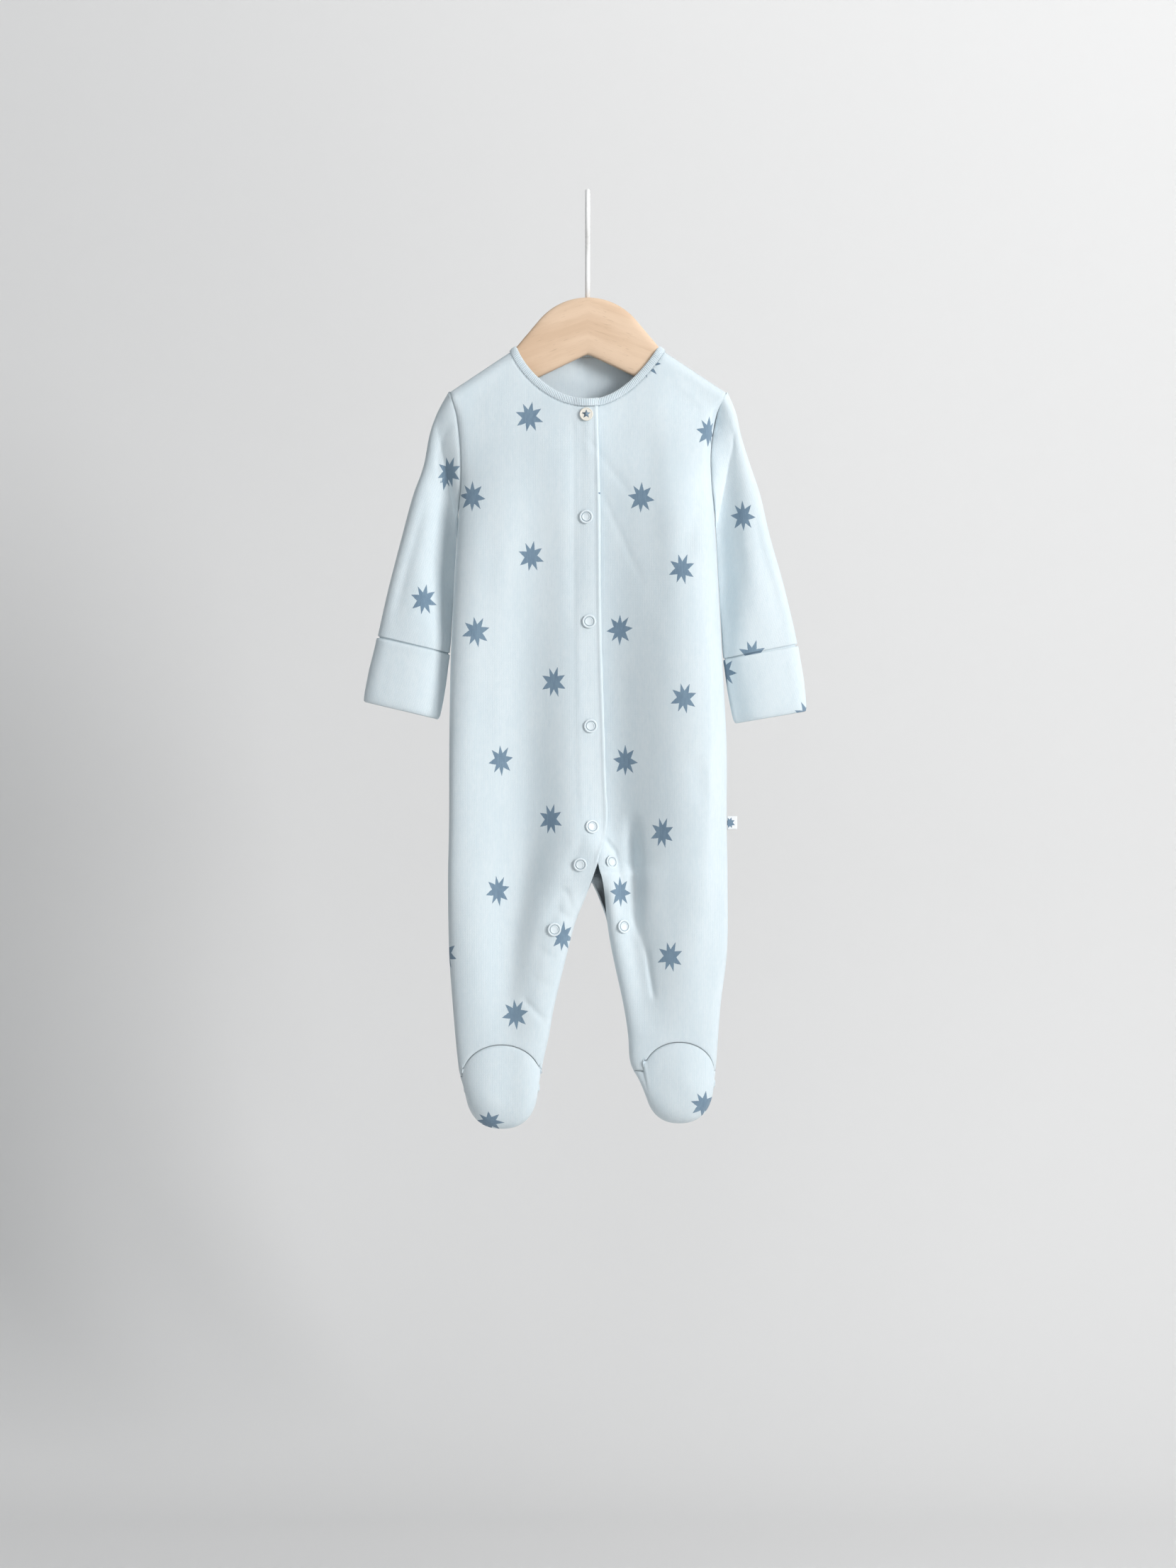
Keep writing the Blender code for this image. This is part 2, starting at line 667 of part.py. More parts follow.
def rim(side, u):
    """The sole's oval edge, from the inner side of the foot round the toe to the outer side."""
    foot = FEET[side]
    angle = math.pi * (u - 0.5)
    x = foot.half * signed_power(math.sin(angle), 0.85)
    drop = foot.top + (foot.bottom - foot.top) * abs(math.cos(angle)) ** 0.85
    return Vector((foot.x + SIDES[side] * x, RIM_Y * math.cos(angle), -drop))


def foot_point(face, side, u, v):
    """A point of the toe cap or the sole: v 0 at the leg's seam, 1 at the rim."""
    turn, drop = panel_turn_drop(face, side, u, PANEL_ROWS)
    start, end = suit_point(face, side, turn, drop), rim(side, u)
    point = start.lerp(end, math.sin(math.pi / 2 * v) if face == "front" else v)
    fall = 1 - math.cos(math.pi / 2 * v) if face == "front" else v * v
    bulge = TOE_BULGE if face == "front" else HEEL_BULGE
    point.y = start.y + (end.y - start.y) * fall
    point.y += FACES[face] * bulge * math.sin(math.pi * v) * math.sin(math.pi * u)
    return point


def foot_normal(face, side, u, v):
    """It starts along the leg's own normal, so that the two walls' cut edges lie parallel."""
    step = 0.004
    inside_u, inside_v = min(max(u, 0.02), 0.98), min(max(v, step), 1 - step)
    across = foot_point(face, side, inside_u + step, v) - foot_point(face, side, inside_u - step, v)
    down = foot_point(face, side, u, inside_v + step) - foot_point(face, side, u, inside_v - step)
    normal = down.cross(across).normalized()
    if normal.y * FACES[face] < 0:
        normal = -normal
    if v > 0.2:
        return normal
    leg_normal = suit_normal(face, side, *panel_turn_drop(face, side, u, PANEL_ROWS))
    return leg_normal.lerp(normal, ease(v / 0.2)).normalized()


def make_feet(finish):
    for name, face, rows in (("toe_cap", "front", 7), ("sole", "back", 8)):
        columns = COLUMNS[face]
        for side in SIDES:
            def place(column, row, depth, half, face=face, side=side, rows=rows, columns=columns):
                u, v = column / columns, row / rows
                point = foot_point(face, side, u, v)
                point -= foot_normal(face, side, u, v) * WALL * depth
                limit = RIM_Y * math.cos(math.pi * (u - 0.5)) + FACES[face] * HALF_GAP
                if (point.y - limit) * FACES[face] < 0:
                    point.y = limit
                return point

            make_object(f"{name}_{side}", grid_mesh(columns, rows, place), finish)


def turned_mesh(profile, sides):
    """A solid turned round Z from (radius, height) points that begin and end on the axis."""
    mesh = bmesh.new()
    verts = [mesh.verts.new((radius * MM, 0, height * MM)) for radius, height in profile]
    edges = [mesh.edges.new(pair) for pair in zip(verts, verts[1:])]
    bmesh.ops.spin(
        mesh, geom=verts + edges, axis=(0, 0, 1), cent=(0, 0, 0),
        angle=2 * math.pi, steps=sides, use_merge=True,
    )
    bmesh.ops.remove_doubles(mesh, verts=mesh.verts, dist=1e-7)
    bmesh.ops.recalc_face_normals(mesh, faces=mesh.faces)
    return mesh


def seat_on_front(item, spot, out):
    """Stands a turned part on the front, its axis along the surface's normal."""
    turn = turn_at("front", spot.side, spot.x, spot.drop)
    normal = suit_normal("front", spot.side, turn, spot.drop)
    point = suit_point("front", spot.side, turn, spot.drop) + normal * out
    item.rotation_euler = normal.to_track_quat("Z", "Y").to_euler()
    item.location = point * MM


def make_fasteners(finishes):
    for number, spot in enumerate(POPPERS, start=1):
        item = make_object(f"popper_{number}", turned_mesh(POPPER_CUT, 16), finishes["popper"])
        seat_on_front(item, spot, SEAT)
    item = make_object("neck_button", turned_mesh(BUTTON_CUT, 20), finishes["button"])
    seat_on_front(item, BUTTON, SEAT)


def make_tab(finish):
    """The folded label, out of the left side seam: its fold is the outer edge."""
    mesh = bmesh.new()
    bmesh.ops.create_cube(mesh, size=1)
    size = Vector((TAB_LENGTH, TAB_THICKNESS, TAB_HEIGHT)) * MM
    bmesh.ops.scale(mesh, vec=size, verts=mesh.verts)
    fold = [e for e in mesh.edges if all(v.co.x > 0 for v in e.verts) and
            abs(e.verts[0].co.z - e.verts[1].co.z) > size.z / 2]
    bmesh.ops.bevel(mesh, geom=fold, offset=0.45 * MM, offset_type="OFFSET", affect="EDGES",
                    segments=2, profile=0.5, material=-1)
    item = make_object("side_tab", mesh, finish)
    side_x = along(SECTIONS, "left", TAB_DROP - TAB_HEIGHT / 2)
    side_x = max(side_x, along(SECTIONS, "left", TAB_DROP + TAB_HEIGHT / 2))
    item.location = Vector((side_x + GAP + TAB_LENGTH / 2, 0, -TAB_DROP)) * MM


def hanger_top(x):
    x = abs(x)
    bend = CROWN_RADIUS * math.sin(CROWN_ANGLE)
    if x < bend:
        flank = CROWN_DROP + CROWN_RADIUS - math.sqrt(CROWN_RADIUS**2 - x**2)
    else:
        flank = CROWN_DROP + CROWN_RADIUS * (1 - math.cos(CROWN_ANGLE))
        flank += (x - bend) * math.tan(CROWN_ANGLE)
    return min(flank, shoulder_line(x) + HANGER_CLEAR)


def make_hanger(finish):
    """Sections across the wood, from tip to tip, with full round edges."""
    half_count = 19
    around = 14
    stations = [ARM_TIP * math.sin(math.pi / 2 * k / half_count)
                for k in range(-half_count, half_count + 1)]

    def place(column, row, depth, half):
        x = stations[row]
        top, bottom = hanger_top(x), NOTCH_DROP + abs(x) * NOTCH_SLOPE
        from_tip = (ARM_TIP + 0.02 - abs(x)) / ARM_ROUND
        size = quarter_round(min(from_tip, 1.0))
        angle = 2 * math.pi * column / around
        y = HANGER_THICK / 2 * signed_power(math.sin(angle), 0.5) * max(size, 0.04)
        rise = signed_power(math.cos(angle), 0.7) * (bottom - top) / 2 * size
        lean = (1 - size) * (bottom - top) * 0.2
        return Vector((x, y, rise - (top + bottom) / 2 + lean))

    mesh = grid_mesh(around, len(stations) - 1, place, closed=True, solid=False)
    make_object("hanger", mesh, finish)


def make_hook(finish):
    radius = (CROOK_INSIDE + WIRE) / 2
    middle_drop = CROOK_INSIDE / 2
    points = []
    for step in range(25):
        angle = math.radians(-35 + step * 250 / 24)
        points.append((radius * math.cos(angle), radius * math.sin(angle) - middle_drop))
    bend_y, bend_z = points[-1]
    for step in range(1, 9):
        part = step / 8
        y = bend_y * (1 - ease(0.35 + part * 0.65)) / (1 - ease(0.35))
        points.append((y, bend_z + (-STEM_BEND - bend_z) * part))
    points.append((0, -(CROWN_DROP - GAP)))
    curve = bpy.data.curves.new("hook", "CURVE")
    curve.dimensions = "3D"
    curve.bevel_depth = WIRE / 2 * MM
    curve.bevel_resolution = 2
    curve.use_fill_caps = True
    spline = curve.splines.new("POLY")
    spline.points.add(len(points) - 1)
    for target, (y, z) in zip(spline.points, points):
        target.co = (0, y * MM, z * MM, 1)
    item = bpy.data.objects.new("hook", curve)
    bpy.context.collection.objects.link(item)
    curve.materials.append(finish)


def main():
    for item in list(bpy.data.objects):
        bpy.data.objects.remove(item)
    finishes = make_finishes()
    make_fronts(finishes["cloth"])
    make_back(finishes["cloth"])
    make_sleeves(finishes["cloth"])
    make_cuffs(finishes["cloth"])
    make_binding(finishes["rib"])
    make_feet(finishes["cloth"])
    make_fasteners(finishes)
    make_tab(finishes["tab"])
    make_hanger(finishes["wood"])
    make_hook(finishes["wire"])


main()
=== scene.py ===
# A footed baby sleepsuit of star-printed jersey on a child's wooden hanger.
# Sizes are in millimetres and become metres as each point is placed. The front faces -Y, the
# wearer's right is at -X, and a drop is how far a point lies below the origin, the inner top of the
# hook's crook. A turn is the angle round the body from the side seam, at 0.

import math
from bisect import bisect_right
from functools import lru_cache

import bmesh
import bpy
from mathutils import Matrix, Vector, noise


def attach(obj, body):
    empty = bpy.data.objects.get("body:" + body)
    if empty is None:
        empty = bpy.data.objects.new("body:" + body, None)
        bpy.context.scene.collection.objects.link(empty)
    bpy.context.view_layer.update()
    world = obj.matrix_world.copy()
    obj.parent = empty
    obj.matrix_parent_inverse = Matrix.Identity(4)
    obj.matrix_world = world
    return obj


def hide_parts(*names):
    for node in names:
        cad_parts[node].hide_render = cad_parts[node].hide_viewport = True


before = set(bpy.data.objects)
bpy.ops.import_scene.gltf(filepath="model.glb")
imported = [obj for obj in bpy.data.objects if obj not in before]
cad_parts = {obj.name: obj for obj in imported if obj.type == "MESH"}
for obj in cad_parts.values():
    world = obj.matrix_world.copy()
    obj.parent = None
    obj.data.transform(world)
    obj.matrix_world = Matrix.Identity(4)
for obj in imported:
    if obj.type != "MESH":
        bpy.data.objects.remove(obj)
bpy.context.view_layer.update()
print("frame:", len(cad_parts), "nodes")

mm = 0.001
faceWay = {"front": -1, "back": 1}
sideWay = {"right": -1, "left": 1}

# half widths, depths in front and behind, and how full the sides are
body = {
    "drop": (144.4, 153, 162, 186, 211, 230, 271, 334, 400, 456, 500, 550, 590, 632, 652),
    "right": (100.4, 97.6, 95.2, 92.4, 91.9, 93.5, 96, 99.2, 100.4, 100.6, 101.3, 100.6, 97.9, 94, 90.5),
    "left": (101.5, 97.3, 94, 90.2, 90.2, 91.7, 94.1, 97.4, 100.9, 101, 101.6, 101.3, 96.6, 93.4, 91.5),
    "front": (22, 22, 22, 22, 23, 24, 25, 26, 25, 24, 22, 19, 16, 14, 13),
    "back": (19, 19, 19, 20, 21, 22, 23, 24, 24, 23, 22, 20, 18, 17, 17),
    "flatness": (0.8, 0.8, 0.8, 0.8, 0.8, 0.8, 0.78, 0.72, 0.66, 0.6, 0.58, 0.74, 0.8, 0.8, 0.8),
}
placket = {
    "drop": (144, 214, 317, 425, 462, 486),
    "middle": (-1, -0.5, 1, 2.6, 4, 7.3),
    "over": (7.2, 9.1, 10.2, 13.6, 14.2, 7.3),
    "under": (-9, -8.5, -8, -6.5, -3.5, 7.3),
}
frontInseam = {
    "drop": (486, 498, 510, 529, 550, 590, 611, 632, 652),
    "right": (7.3, 3.1, -1.2, -8.8, -14.4, -24.2, -28, -32.6, -36),
    "left": (7.3, 10.6, 12.4, 14.2, 17.6, 26.2, 29.4, 31.4, 41),
}
backInseam = {
    "drop": (500, 510, 529, 550, 590, 611, 632, 652),
    "right": (3, -1.2, -8.8, -14.4, -24.2, -28, -32.6, -36),
    "left": (3, 7.6, 14.2, 17.6, 26.2, 29.4, 31.4, 41),
}
sleeves = {
    "right": {
        "place": (0, 1, 2, 3, 4, 5, 6, 7, 8),
        "outer": (100.4, 108.2, 114.6, 119.4, 127.2, 135, 144.5, 152.8, 163),
        "outerDrop": (144, 157, 174, 198, 220, 249, 286, 323, 369),
        "inner": (94.4, 94.6, 95.2, 95.9, 96.8, 97.8, 98.9, 100.5, 107.9),
        "innerDrop": (230, 240, 250, 262, 278, 297, 316, 335, 382),
        "depth": (10, 11.5, 13, 14, 14.5, 14, 13, 12, 12),
        "valley": 0.92, "valleyWide": 16, "setBack": 7.0,
    },
    "left": {
        "place": (0, 1, 2, 3, 4, 5, 6, 7, 8),
        "outer": (101.5, 107.4, 111.8, 118.4, 125.4, 132.4, 142.8, 152.6, 159.2),
        "outerDrop": (144.8, 158, 177, 198, 219, 249, 286, 329, 376),
        "inner": (92.6, 92.9, 93.5, 94.2, 95.1, 96.2, 97.3, 98.9, 106.6),
        "innerDrop": (230, 240, 251, 264, 281, 300, 320, 339, 385),
        "depth": (10, 13.5, 16, 17, 17, 16, 14.5, 12.5, 12),
        "valley": 0.9, "valleyWide": 15, "setBack": 2.0,
    },
}
tables = {"body": body, "placket": placket, "frontInseam": frontInseam, "backInseam": backInseam,
          "sleeveRight": sleeves["right"], "sleeveLeft": sleeves["left"]}

# the long valleys beside the placket, and a ridge: where each runs, and how wide its two slopes are
valleys = {
    "valleyRight": {
        "drop": (180, 250, 320, 400, 451, 493, 532, 567, 588, 625),
        "x": (-36, -38, -42, -46, -46, -48, -54, -57, -58, -58),
        "before": (20, 24, 30, 36, 36, 30, 22, 18, 17, 16),
        "after": (16, 22, 27, 28, 27, 18, 15, 14, 13, 12),
        "depth": (0, 5.6, 10.0, 14.0, 15.4, 13.4, 10.6, 8.0, 5.4, 0.8),
    },
    "valleyLeft": {
        "drop": (150, 200, 250, 320, 400, 451, 480, 520, 560, 610),
        "x": (10, 10, 10.5, 12, 17, 20, 24, 29, 37, 44),
        "before": (30, 30, 30, 30, 30, 24, 10, 8, 10, 10),
        "after": (34, 34, 34, 30, 26, 22, 18, 14, 14, 14),
        "depth": (0, 1.8, 3.4, 5.4, 7.2, 8.8, 9.2, 8.4, 6.0, 0.8),
    },
    "ridgeLeft": {
        "drop": (150, 200, 300, 400, 500, 560, 610),
        "x": (82, 87, 88, 88, 84, 76, 72),
        "before": (38, 40, 40, 38, 28, 18, 14),
        "after": (10, 8, 8, 8, 12, 16, 16),
        "depth": (0, -8.0, -12.0, -12.5, -7.5, -2.8, 0),
    },
}
tables.update(valleys)

cloth = {
    "wall": 1.2, "gap": 0.3, "fullness": {"front": 0.52, "back": 1.0},
    # how deep the two rings of points next to a seam sink, and the share of that at the hems
    "seamTuck": (0.85, 0.3), "hemShare": 0.3,
    # the drops at which the legs part and are round, and how far left the back's middle runs there
    "crotchFront": 486, "crotchBack": 500, "legsClosed": 518, "backMiddle": 3.0,
    # where each face starts to turn in towards the legs, and how much of that turn comes early
    "hollowStart": {"front": 380, "back": 440}, "hollowShare": {"front": 0.06, "back": 0.75},
    "hollowAbove": {"front": 6, "back": 16},
    # the armhole's foot, how far it cuts into each face, and how far the body's edge laps over the sleeve's
    "underarm": 230, "armholeTurn": math.radians(60), "armholePower": 2.0, "lap": (0.6, 1.45),
    "neckX": 51.5, "neckDrop": 111.0, "shoulderSlope": 0.665, "tip": {"right": 100.4, "left": 101.5},
    "band": 5.6, "neckDepth": {"front": 38.6, "back": 1.5}, "bandDepth": {"front": 2.4, "back": 2.6},
    "neckRound": {"right": 1.56, "left": 1.95, "back": 1.6},
    # half the depth along the shoulder's line, and the drop below it at which the body is full
    "ridge": 8.8, "shoulderFall": 125,
}

# how the cloth hangs over that form: each "over" is the length in which something comes or goes
drape = {
    "under": {"inset": 7.0, "over": 52, "endOver": 8},  # the left front under the right one's edge
    "armhole": {"right": 1.5, "left": 10.5, "wide": 3.0, "below": 4, "startOver": 20, "endOver": 30},
    "crotch": {"x": 5.0, "wide": 11, "drop": 497, "tall": 9, "depth": 16.5},
    "facing": {"depth": 0.45, "top": 150, "topOver": 20, "low": 440, "lowOver": 40, "out": 1.2, "over": 2.4},
    "hold": {"below": 440, "first": 3, "share": 0.9, "wide": 5.5},  # the lower poppers, from the fourth one
    "wave": {"depth": 0.9, "scale": 0.03, "stretch": 0.28, "seed": 3.7, "over": 60},
    "fold": {"over": 40, "fade": 3, "ends": 0.6, "reach": 9},
}

popperSpots = [(-1.0, 235.6, "right"), (1.0, 311.2, "right"), (2.1, 386.8, "right"), (3.1, 459.7, "right"),
               (-5.4, 487.0, "right"), (-24.2, 534.0, "right"), (17.2, 485.4, "left"), (26.0, 532.0, "left")]

# soft troughs, and ridges where the depth is below 0: x, drop, end x, end drop, width, depth
folds = {
    "front": [
        (-16, 506, -27, 528, 4, 1.2), (77, 412, 84, 440, 7, 0.8), (90, 418, 96, 450, 7, -0.6),
        # the hollow and the crease beside the left leg's popper strip
        (32.2, 460, 35.2, 530, 4.6, 4.4), (34.5, 527, 43.4, 553, 2.4, 1.0), (43.4, 553, 47.7, 582, 1.9, 1.7),
        (13, 469, 19.8, 478, 1.5, 2.0), (19.8, 478, 22.8, 493, 1.5, 1.9), (32, 470, 37, 512, 6, 1.2),
        # the right leg's strip, with its puckers
        (-26.9, 508, -35.5, 549, 6, 0.5), (-35.5, 549, -43.3, 587, 6, 0.6),
        (-21.8, 520, -11.5, 527, 2.4, 1.0), (-14.4, 506.5, -12, 518.4, 2.2, 0.7),
        (-45.8, 585.4, -31.4, 599.8, 2.3, 1.1), (-39, 570, -25, 575, 3, 0.5),
        (-35.5, 549, -23.7, 554.5, 3, 0.5), (-4, 468, -12, 492, 4, 0.7),
        # drag lines from the placket and the shoulders
        (10, 218, 38, 279, 2.4, 0.35), (1, 180, 33, 222, 2.2, 0.4), (-58, 128, -84, 152, 5, 0.8),
        (70, 128, 98, 150, 3.5, 0.9), (62, 133, 86, 158, 3, -0.6), (88, 200, 72, 262, 7, 1.4),
        (-6, 175, -9, 300, 6, 0.9), (44, 180, 52, 300, 10, 0.9), (-70, 240, -78, 420, 9, 0.9),
    ],
    "back": [
        (0, 260, 2, 470, 14, 3.0), (-48, 300, -56, 560, 12, 2.6), (46, 330, 54, 590, 12, 3.0),
        (-24, 380, -28, 500, 10, -1.8), (26, 350, 30, 500, 10, -1.8), (-80, 220, -62, 280, 6, 1.2),
        (82, 220, 60, 290, 6, 1.2), (-20, 506, -44, 540, 4, 1.2), (18, 508, 40, 548, 4, 1.3),
        (-60, 150, -20, 190, 8, 0.8), (66, 150, 24, 200, 8, 0.7),
    ],
}


@lru_cache(maxsize=None)
def along(table, column, key, at="drop"):
    # a smooth curve through a column of a table, level past its ends
    keys, values = tables[table][at], tables[table][column]
    last = len(keys) - 1
    i = min(max(bisect_right(keys, key) - 1, 0), last - 1)

    def slope(k):
        low, high = max(k - 1, 0), min(k + 1, last)
        return (values[high] - values[low]) / (keys[high] - keys[low])

    span = keys[i + 1] - keys[i]
    t = min(max((key - keys[i]) / span, 0.0), 1.0)
    rise = values[i + 1] - values[i]
    bend = (1 - t) * (slope(i) * span - rise) - t * (slope(i + 1) * span - rise)
    return values[i] + rise * t + t * (1 - t) * bend


def ease(t):
    t = min(max(t, 0.0), 1.0)
    return t * t * (3 - 2 * t)


def bump(distance, width):
    return math.exp(-((distance / width) ** 2))


def quarterRound(t):
    if t < 0:
        return -quarterRound(-t)
    return 1.0 if t >= 1 else math.sqrt(1 - (1 - t) ** 2)


def signedPower(value, power):
    return math.copysign(abs(value) ** power, value)


def ripple(x, drop, seed):
    # long soft waves, as cloth has where it hangs
    wave = drape["wave"]
    spot = Vector((x * wave["scale"], drop * wave["scale"] * wave["stretch"], seed))
    return wave["depth"] * noise.noise(spot)


def shoulderLine(x):
    return cloth["neckDrop"] + (abs(x) - cloth["neckX"]) * cloth["shoulderSlope"]


def tipDrop(side):
    return shoulderLine(cloth["tip"][side])


@lru_cache(maxsize=None)
def innerEdge(face, side, drop):
    if face == "front":
        if drop <= cloth["crotchFront"]:
            return along("placket", "middle", drop)
        return along("frontInseam", side, drop)
    if drop <= cloth["crotchBack"]:
        down = (drop - cloth["underarm"]) / (cloth["crotchBack"] - cloth["underarm"])
        return cloth["backMiddle"] * ease(down)
    return along("backInseam", side, drop)


@lru_cache(maxsize=None)
def firstTurn(side, drop):
    # 0 at the side seam, and more along the armhole
    part = (drop - tipDrop(side)) / (cloth["underarm"] - tipDrop(side))
    if part >= 1:
        return 0.0
    return cloth["armholeTurn"] * math.cos(math.pi / 2 * max(part, 0.0)) ** cloth["armholePower"]


@lru_cache(maxsize=None)
def lastTurn(face, drop):
    # a right angle at the middle, and two at the inside leg
    start = cloth["crotch" + face.title()] - cloth["hollowAbove"][face]
    begins = cloth["hollowStart"][face]
    early = ease((drop - begins) / (start - begins))
    late = ease((drop - start) / (cloth["legsClosed"] - start))
    share = cloth["hollowShare"][face]
    return math.pi / 2 * (1 + share * early + (1 - share) * late)


@lru_cache(maxsize=None)
def sectionAt(face, side, drop):
    outer = sideWay[side] * along("body", side, drop)
    first, last = math.cos(firstTurn(side, drop)), math.cos(lastTurn(face, drop))
    full, flatness = along("body", face, drop), along("body", "flatness", drop) * cloth["fullness"][face]
    return outer, innerEdge(face, side, drop), first, last, full, flatness


def turnAt(face, side, x, drop):
    outer, inner, first, last, _, _ = sectionAt(face, side, drop)
    part = (x - outer) / (inner - outer)
    return math.acos(min(max(first - part * (first - last), -1.0), 1.0))


@lru_cache(maxsize=None)
def valleysAt(drop):
    columns = ("x", "before", "after", "depth")
    return [tuple(along(name, column, drop) for column in columns) for name in valleys]


def facingStep(x, drop):
    # the placket's facing makes the cloth stand out
    facing = drape["facing"]
    tall = ease((drop - facing["top"]) / facing["topOver"])
    tall *= 1 - ease((drop - facing["low"]) / facing["lowOver"])
    past = x - along("placket", "under", drop) + facing["out"]
    return facing["depth"] * tall * ease(past / facing["over"])


def foldDepth(face, x, drop):
    total = creases = 0.0
    if face == "front":
        for middle, before, after, depth in valleysAt(drop):
            total += depth * bump(x - middle, before if x < middle else after)
        total -= facingStep(x, drop)
    steep, ends = drape["fold"]["fade"], drape["fold"]["ends"]
    for startX, startDrop, endX, endDrop, width, depth in folds[face]:
        runX, runDrop = endX - startX, endDrop - startDrop
        wayX, wayDrop = x - startX, drop - startDrop
        length = runX * runX + runDrop * runDrop
        across = (wayX * runDrop - wayDrop * runX) ** 2 / length / (width * width)
        if across > drape["fold"]["reach"]:
            continue
        part = (wayX * runX + wayDrop * runDrop) / length
        fade = ease(part * steep + ends) * ease((1 - part) * steep + ends)
        creases += depth * fade * math.exp(-across)
    hold = drape["hold"]
    if face == "front" and drop > hold["below"]:
        # a popper holds the cloth under it flat
        for spotX, spotDrop, _ in popperSpots[hold["first"]:]:
            creases *= 1 - hold["share"] * bump(math.hypot(x - spotX, drop - spotDrop), hold["wide"])
    return total + creases


def underInset(side, x, drop):
    # the left front lies behind the right one where they overlap
    under, crotch = drape["under"], cloth["crotchFront"]
    if side == "right" or drop > crotch + under["endOver"]:
        return 0.0
    pastEdge = x - along("placket", "over", drop)
    low = ease((drop - crotch) / under["endOver"])
    return under["inset"] * (1 - ease(pastEdge / under["over"])) * (1 - low)


def crotchLift(x, drop):
    # the back comes forward behind the front's opening between the legs
    lift = drape["crotch"]
    return lift["depth"] * bump(x - lift["x"], lift["wide"]) * bump(drop - lift["drop"], lift["tall"])


def armholeDip(side, x, outer, drop):
    # beside the armhole the front turns back to its seam
    dip = drape["armhole"]
    tall = ease((drop - tipDrop(side) - dip["below"]) / dip["startOver"])
    tall *= 1 - ease((drop - cloth["underarm"] + dip["endOver"]) / dip["endOver"])
    return dip[side] * tall * bump(x - outer, dip["wide"])


def suitPoint(face, side, turn, drop):
    outer, inner, first, last, full, flatness = sectionAt(face, side, drop)
    x = outer + (inner - outer) * (first - math.cos(turn)) / (first - last)
    below = drop - shoulderLine(x)
    ridge = cloth["ridge"]
    depth = ridge * quarterRound(below / ridge) + (full - ridge) * ease(below / cloth["shoulderFall"])
    depth -= foldDepth(face, x, drop) * ease(below / drape["fold"]["over"])
    depth += ripple(x, drop, faceWay[face] * drape["wave"]["seed"]) * ease(below / drape["wave"]["over"])
    if face == "front":
        depth -= underInset(side, x, drop) + armholeDip(side, x, outer, drop)
    return Vector((x, faceWay[face] * depth * signedPower(math.sin(turn), flatness), -drop))


def suitNormal(face, side, turn, drop):
    step = 0.01
    across = suitPoint(face, side, turn + step, drop) - suitPoint(face, side, turn - step, drop)
    down = suitPoint(face, side, turn, drop + 1) - suitPoint(face, side, turn, drop - 1)
    return (down.cross(across) * sideWay[side] * faceWay[face]).normalized()


def suitAt(face, side, x, drop, out=0.0):
    turn = turnAt(face, side, x, drop)
    return suitPoint(face, side, turn, drop) + suitNormal(face, side, turn, drop) * out


def neckRing(face, side, part, ring):
    # the neck's curve from the middle, part 0, to the shoulder, part 1; ring 1 is its outer seam
    angle = math.pi / 2 * part
    reach = cloth["band"] / math.hypot(1, cloth["shoulderSlope"]) * ring
    depth = cloth["neckDepth"][face] + cloth["bandDepth"][face] * ring
    power = cloth["neckRound"][side if face == "front" else "back"]
    drop = cloth["neckDrop"] + reach * cloth["shoulderSlope"] + depth * abs(math.cos(angle)) ** power
    return sideWay[side] * (cloth["neckX"] + reach) * math.sin(angle), drop


print("cloth form ready")


def newGroup(name, inputs, outputs):
    group = bpy.data.node_groups.new(name, "ShaderNodeTree")
    for label, value in inputs.items():
        socket = group.interface.new_socket(name=label, in_out="INPUT", socket_type="NodeSocketFloat")
        socket.default_value = value
    for label in outputs:
        group.interface.new_socket(name=label, in_out="OUTPUT", socket_type="NodeSocketFloat")
    return group, group.nodes.new("NodeGroupInput"), group.nodes.new("NodeGroupOutput")


def fillInputs(tree, node, inputs):
    # each input, by its name or number, is a value or another node's socket
    for label, value in inputs.items():
        socket = node.inputs[label]
        if isinstance(value, bpy.types.NodeSocket):
            tree.links.new(value, socket)
        else:
            socket.default_value = (*value, 1) if socket.type == "RGBA" else value


def newNode(tree, kind, inputs=None):
    node = tree.nodes.new("ShaderNode" + kind)
    fillInputs(tree, node, inputs or {})
    return node


def mathNode(tree, operation, *values):
    # a value may be a sum of its own: its operation and its values
    values = [mathNode(tree, *value) if isinstance(value, tuple) else value for value in values]
    node = newNode(tree, "Math", dict(enumerate(values)))
    node.operation = operation
    return node.outputs[0]


def rampNode(tree, value, low, high, toLow=0.0, toHigh=1.0):
    node = newNode(tree, "MapRange", dict(enumerate((value, low, high, toLow, toHigh))))
    node.interpolation_type = "SMOOTHSTEP"
    return node.outputs[0]


def noiseNode(tree, vector, scale, detail=3.0, roughness=0.55):
    values = {"Vector": vector, "Scale": scale, "Detail": detail, "Roughness": roughness}
    return newNode(tree, "TexNoise", values).outputs["Fac"]


def mixNode(tree, share, a, b):
    node = newNode(tree, "Mix")
    node.data_type = "RGBA"
    fillInputs(tree, node, {0: share, 6: a, 7: b})
    return node.outputs[2]


def objectPlace(tree):
    return newNode(tree, "TexCoord").outputs["Object"]


def stretched(tree, vector, scale):
    return newNode(tree, "Mapping", {"Vector": vector, "Scale": scale}).outputs["Vector"]


def mapParts(tree, name):
    # the two numbers of one of a piece's maps
    found = newNode(tree, "UVMap")
    found.uv_map = name
    return newNode(tree, "SeparateXYZ", {0: found.outputs["UV"]}).outputs[:2]


starForm = {"points": 8, "ragged": 0.08, "notch": 0.48, "uneven": 0.07, "lobes": 3.0, "bend": 0.087,
            "bendFrom": 2.3, "edge": 0.03, "grit": 900.0}


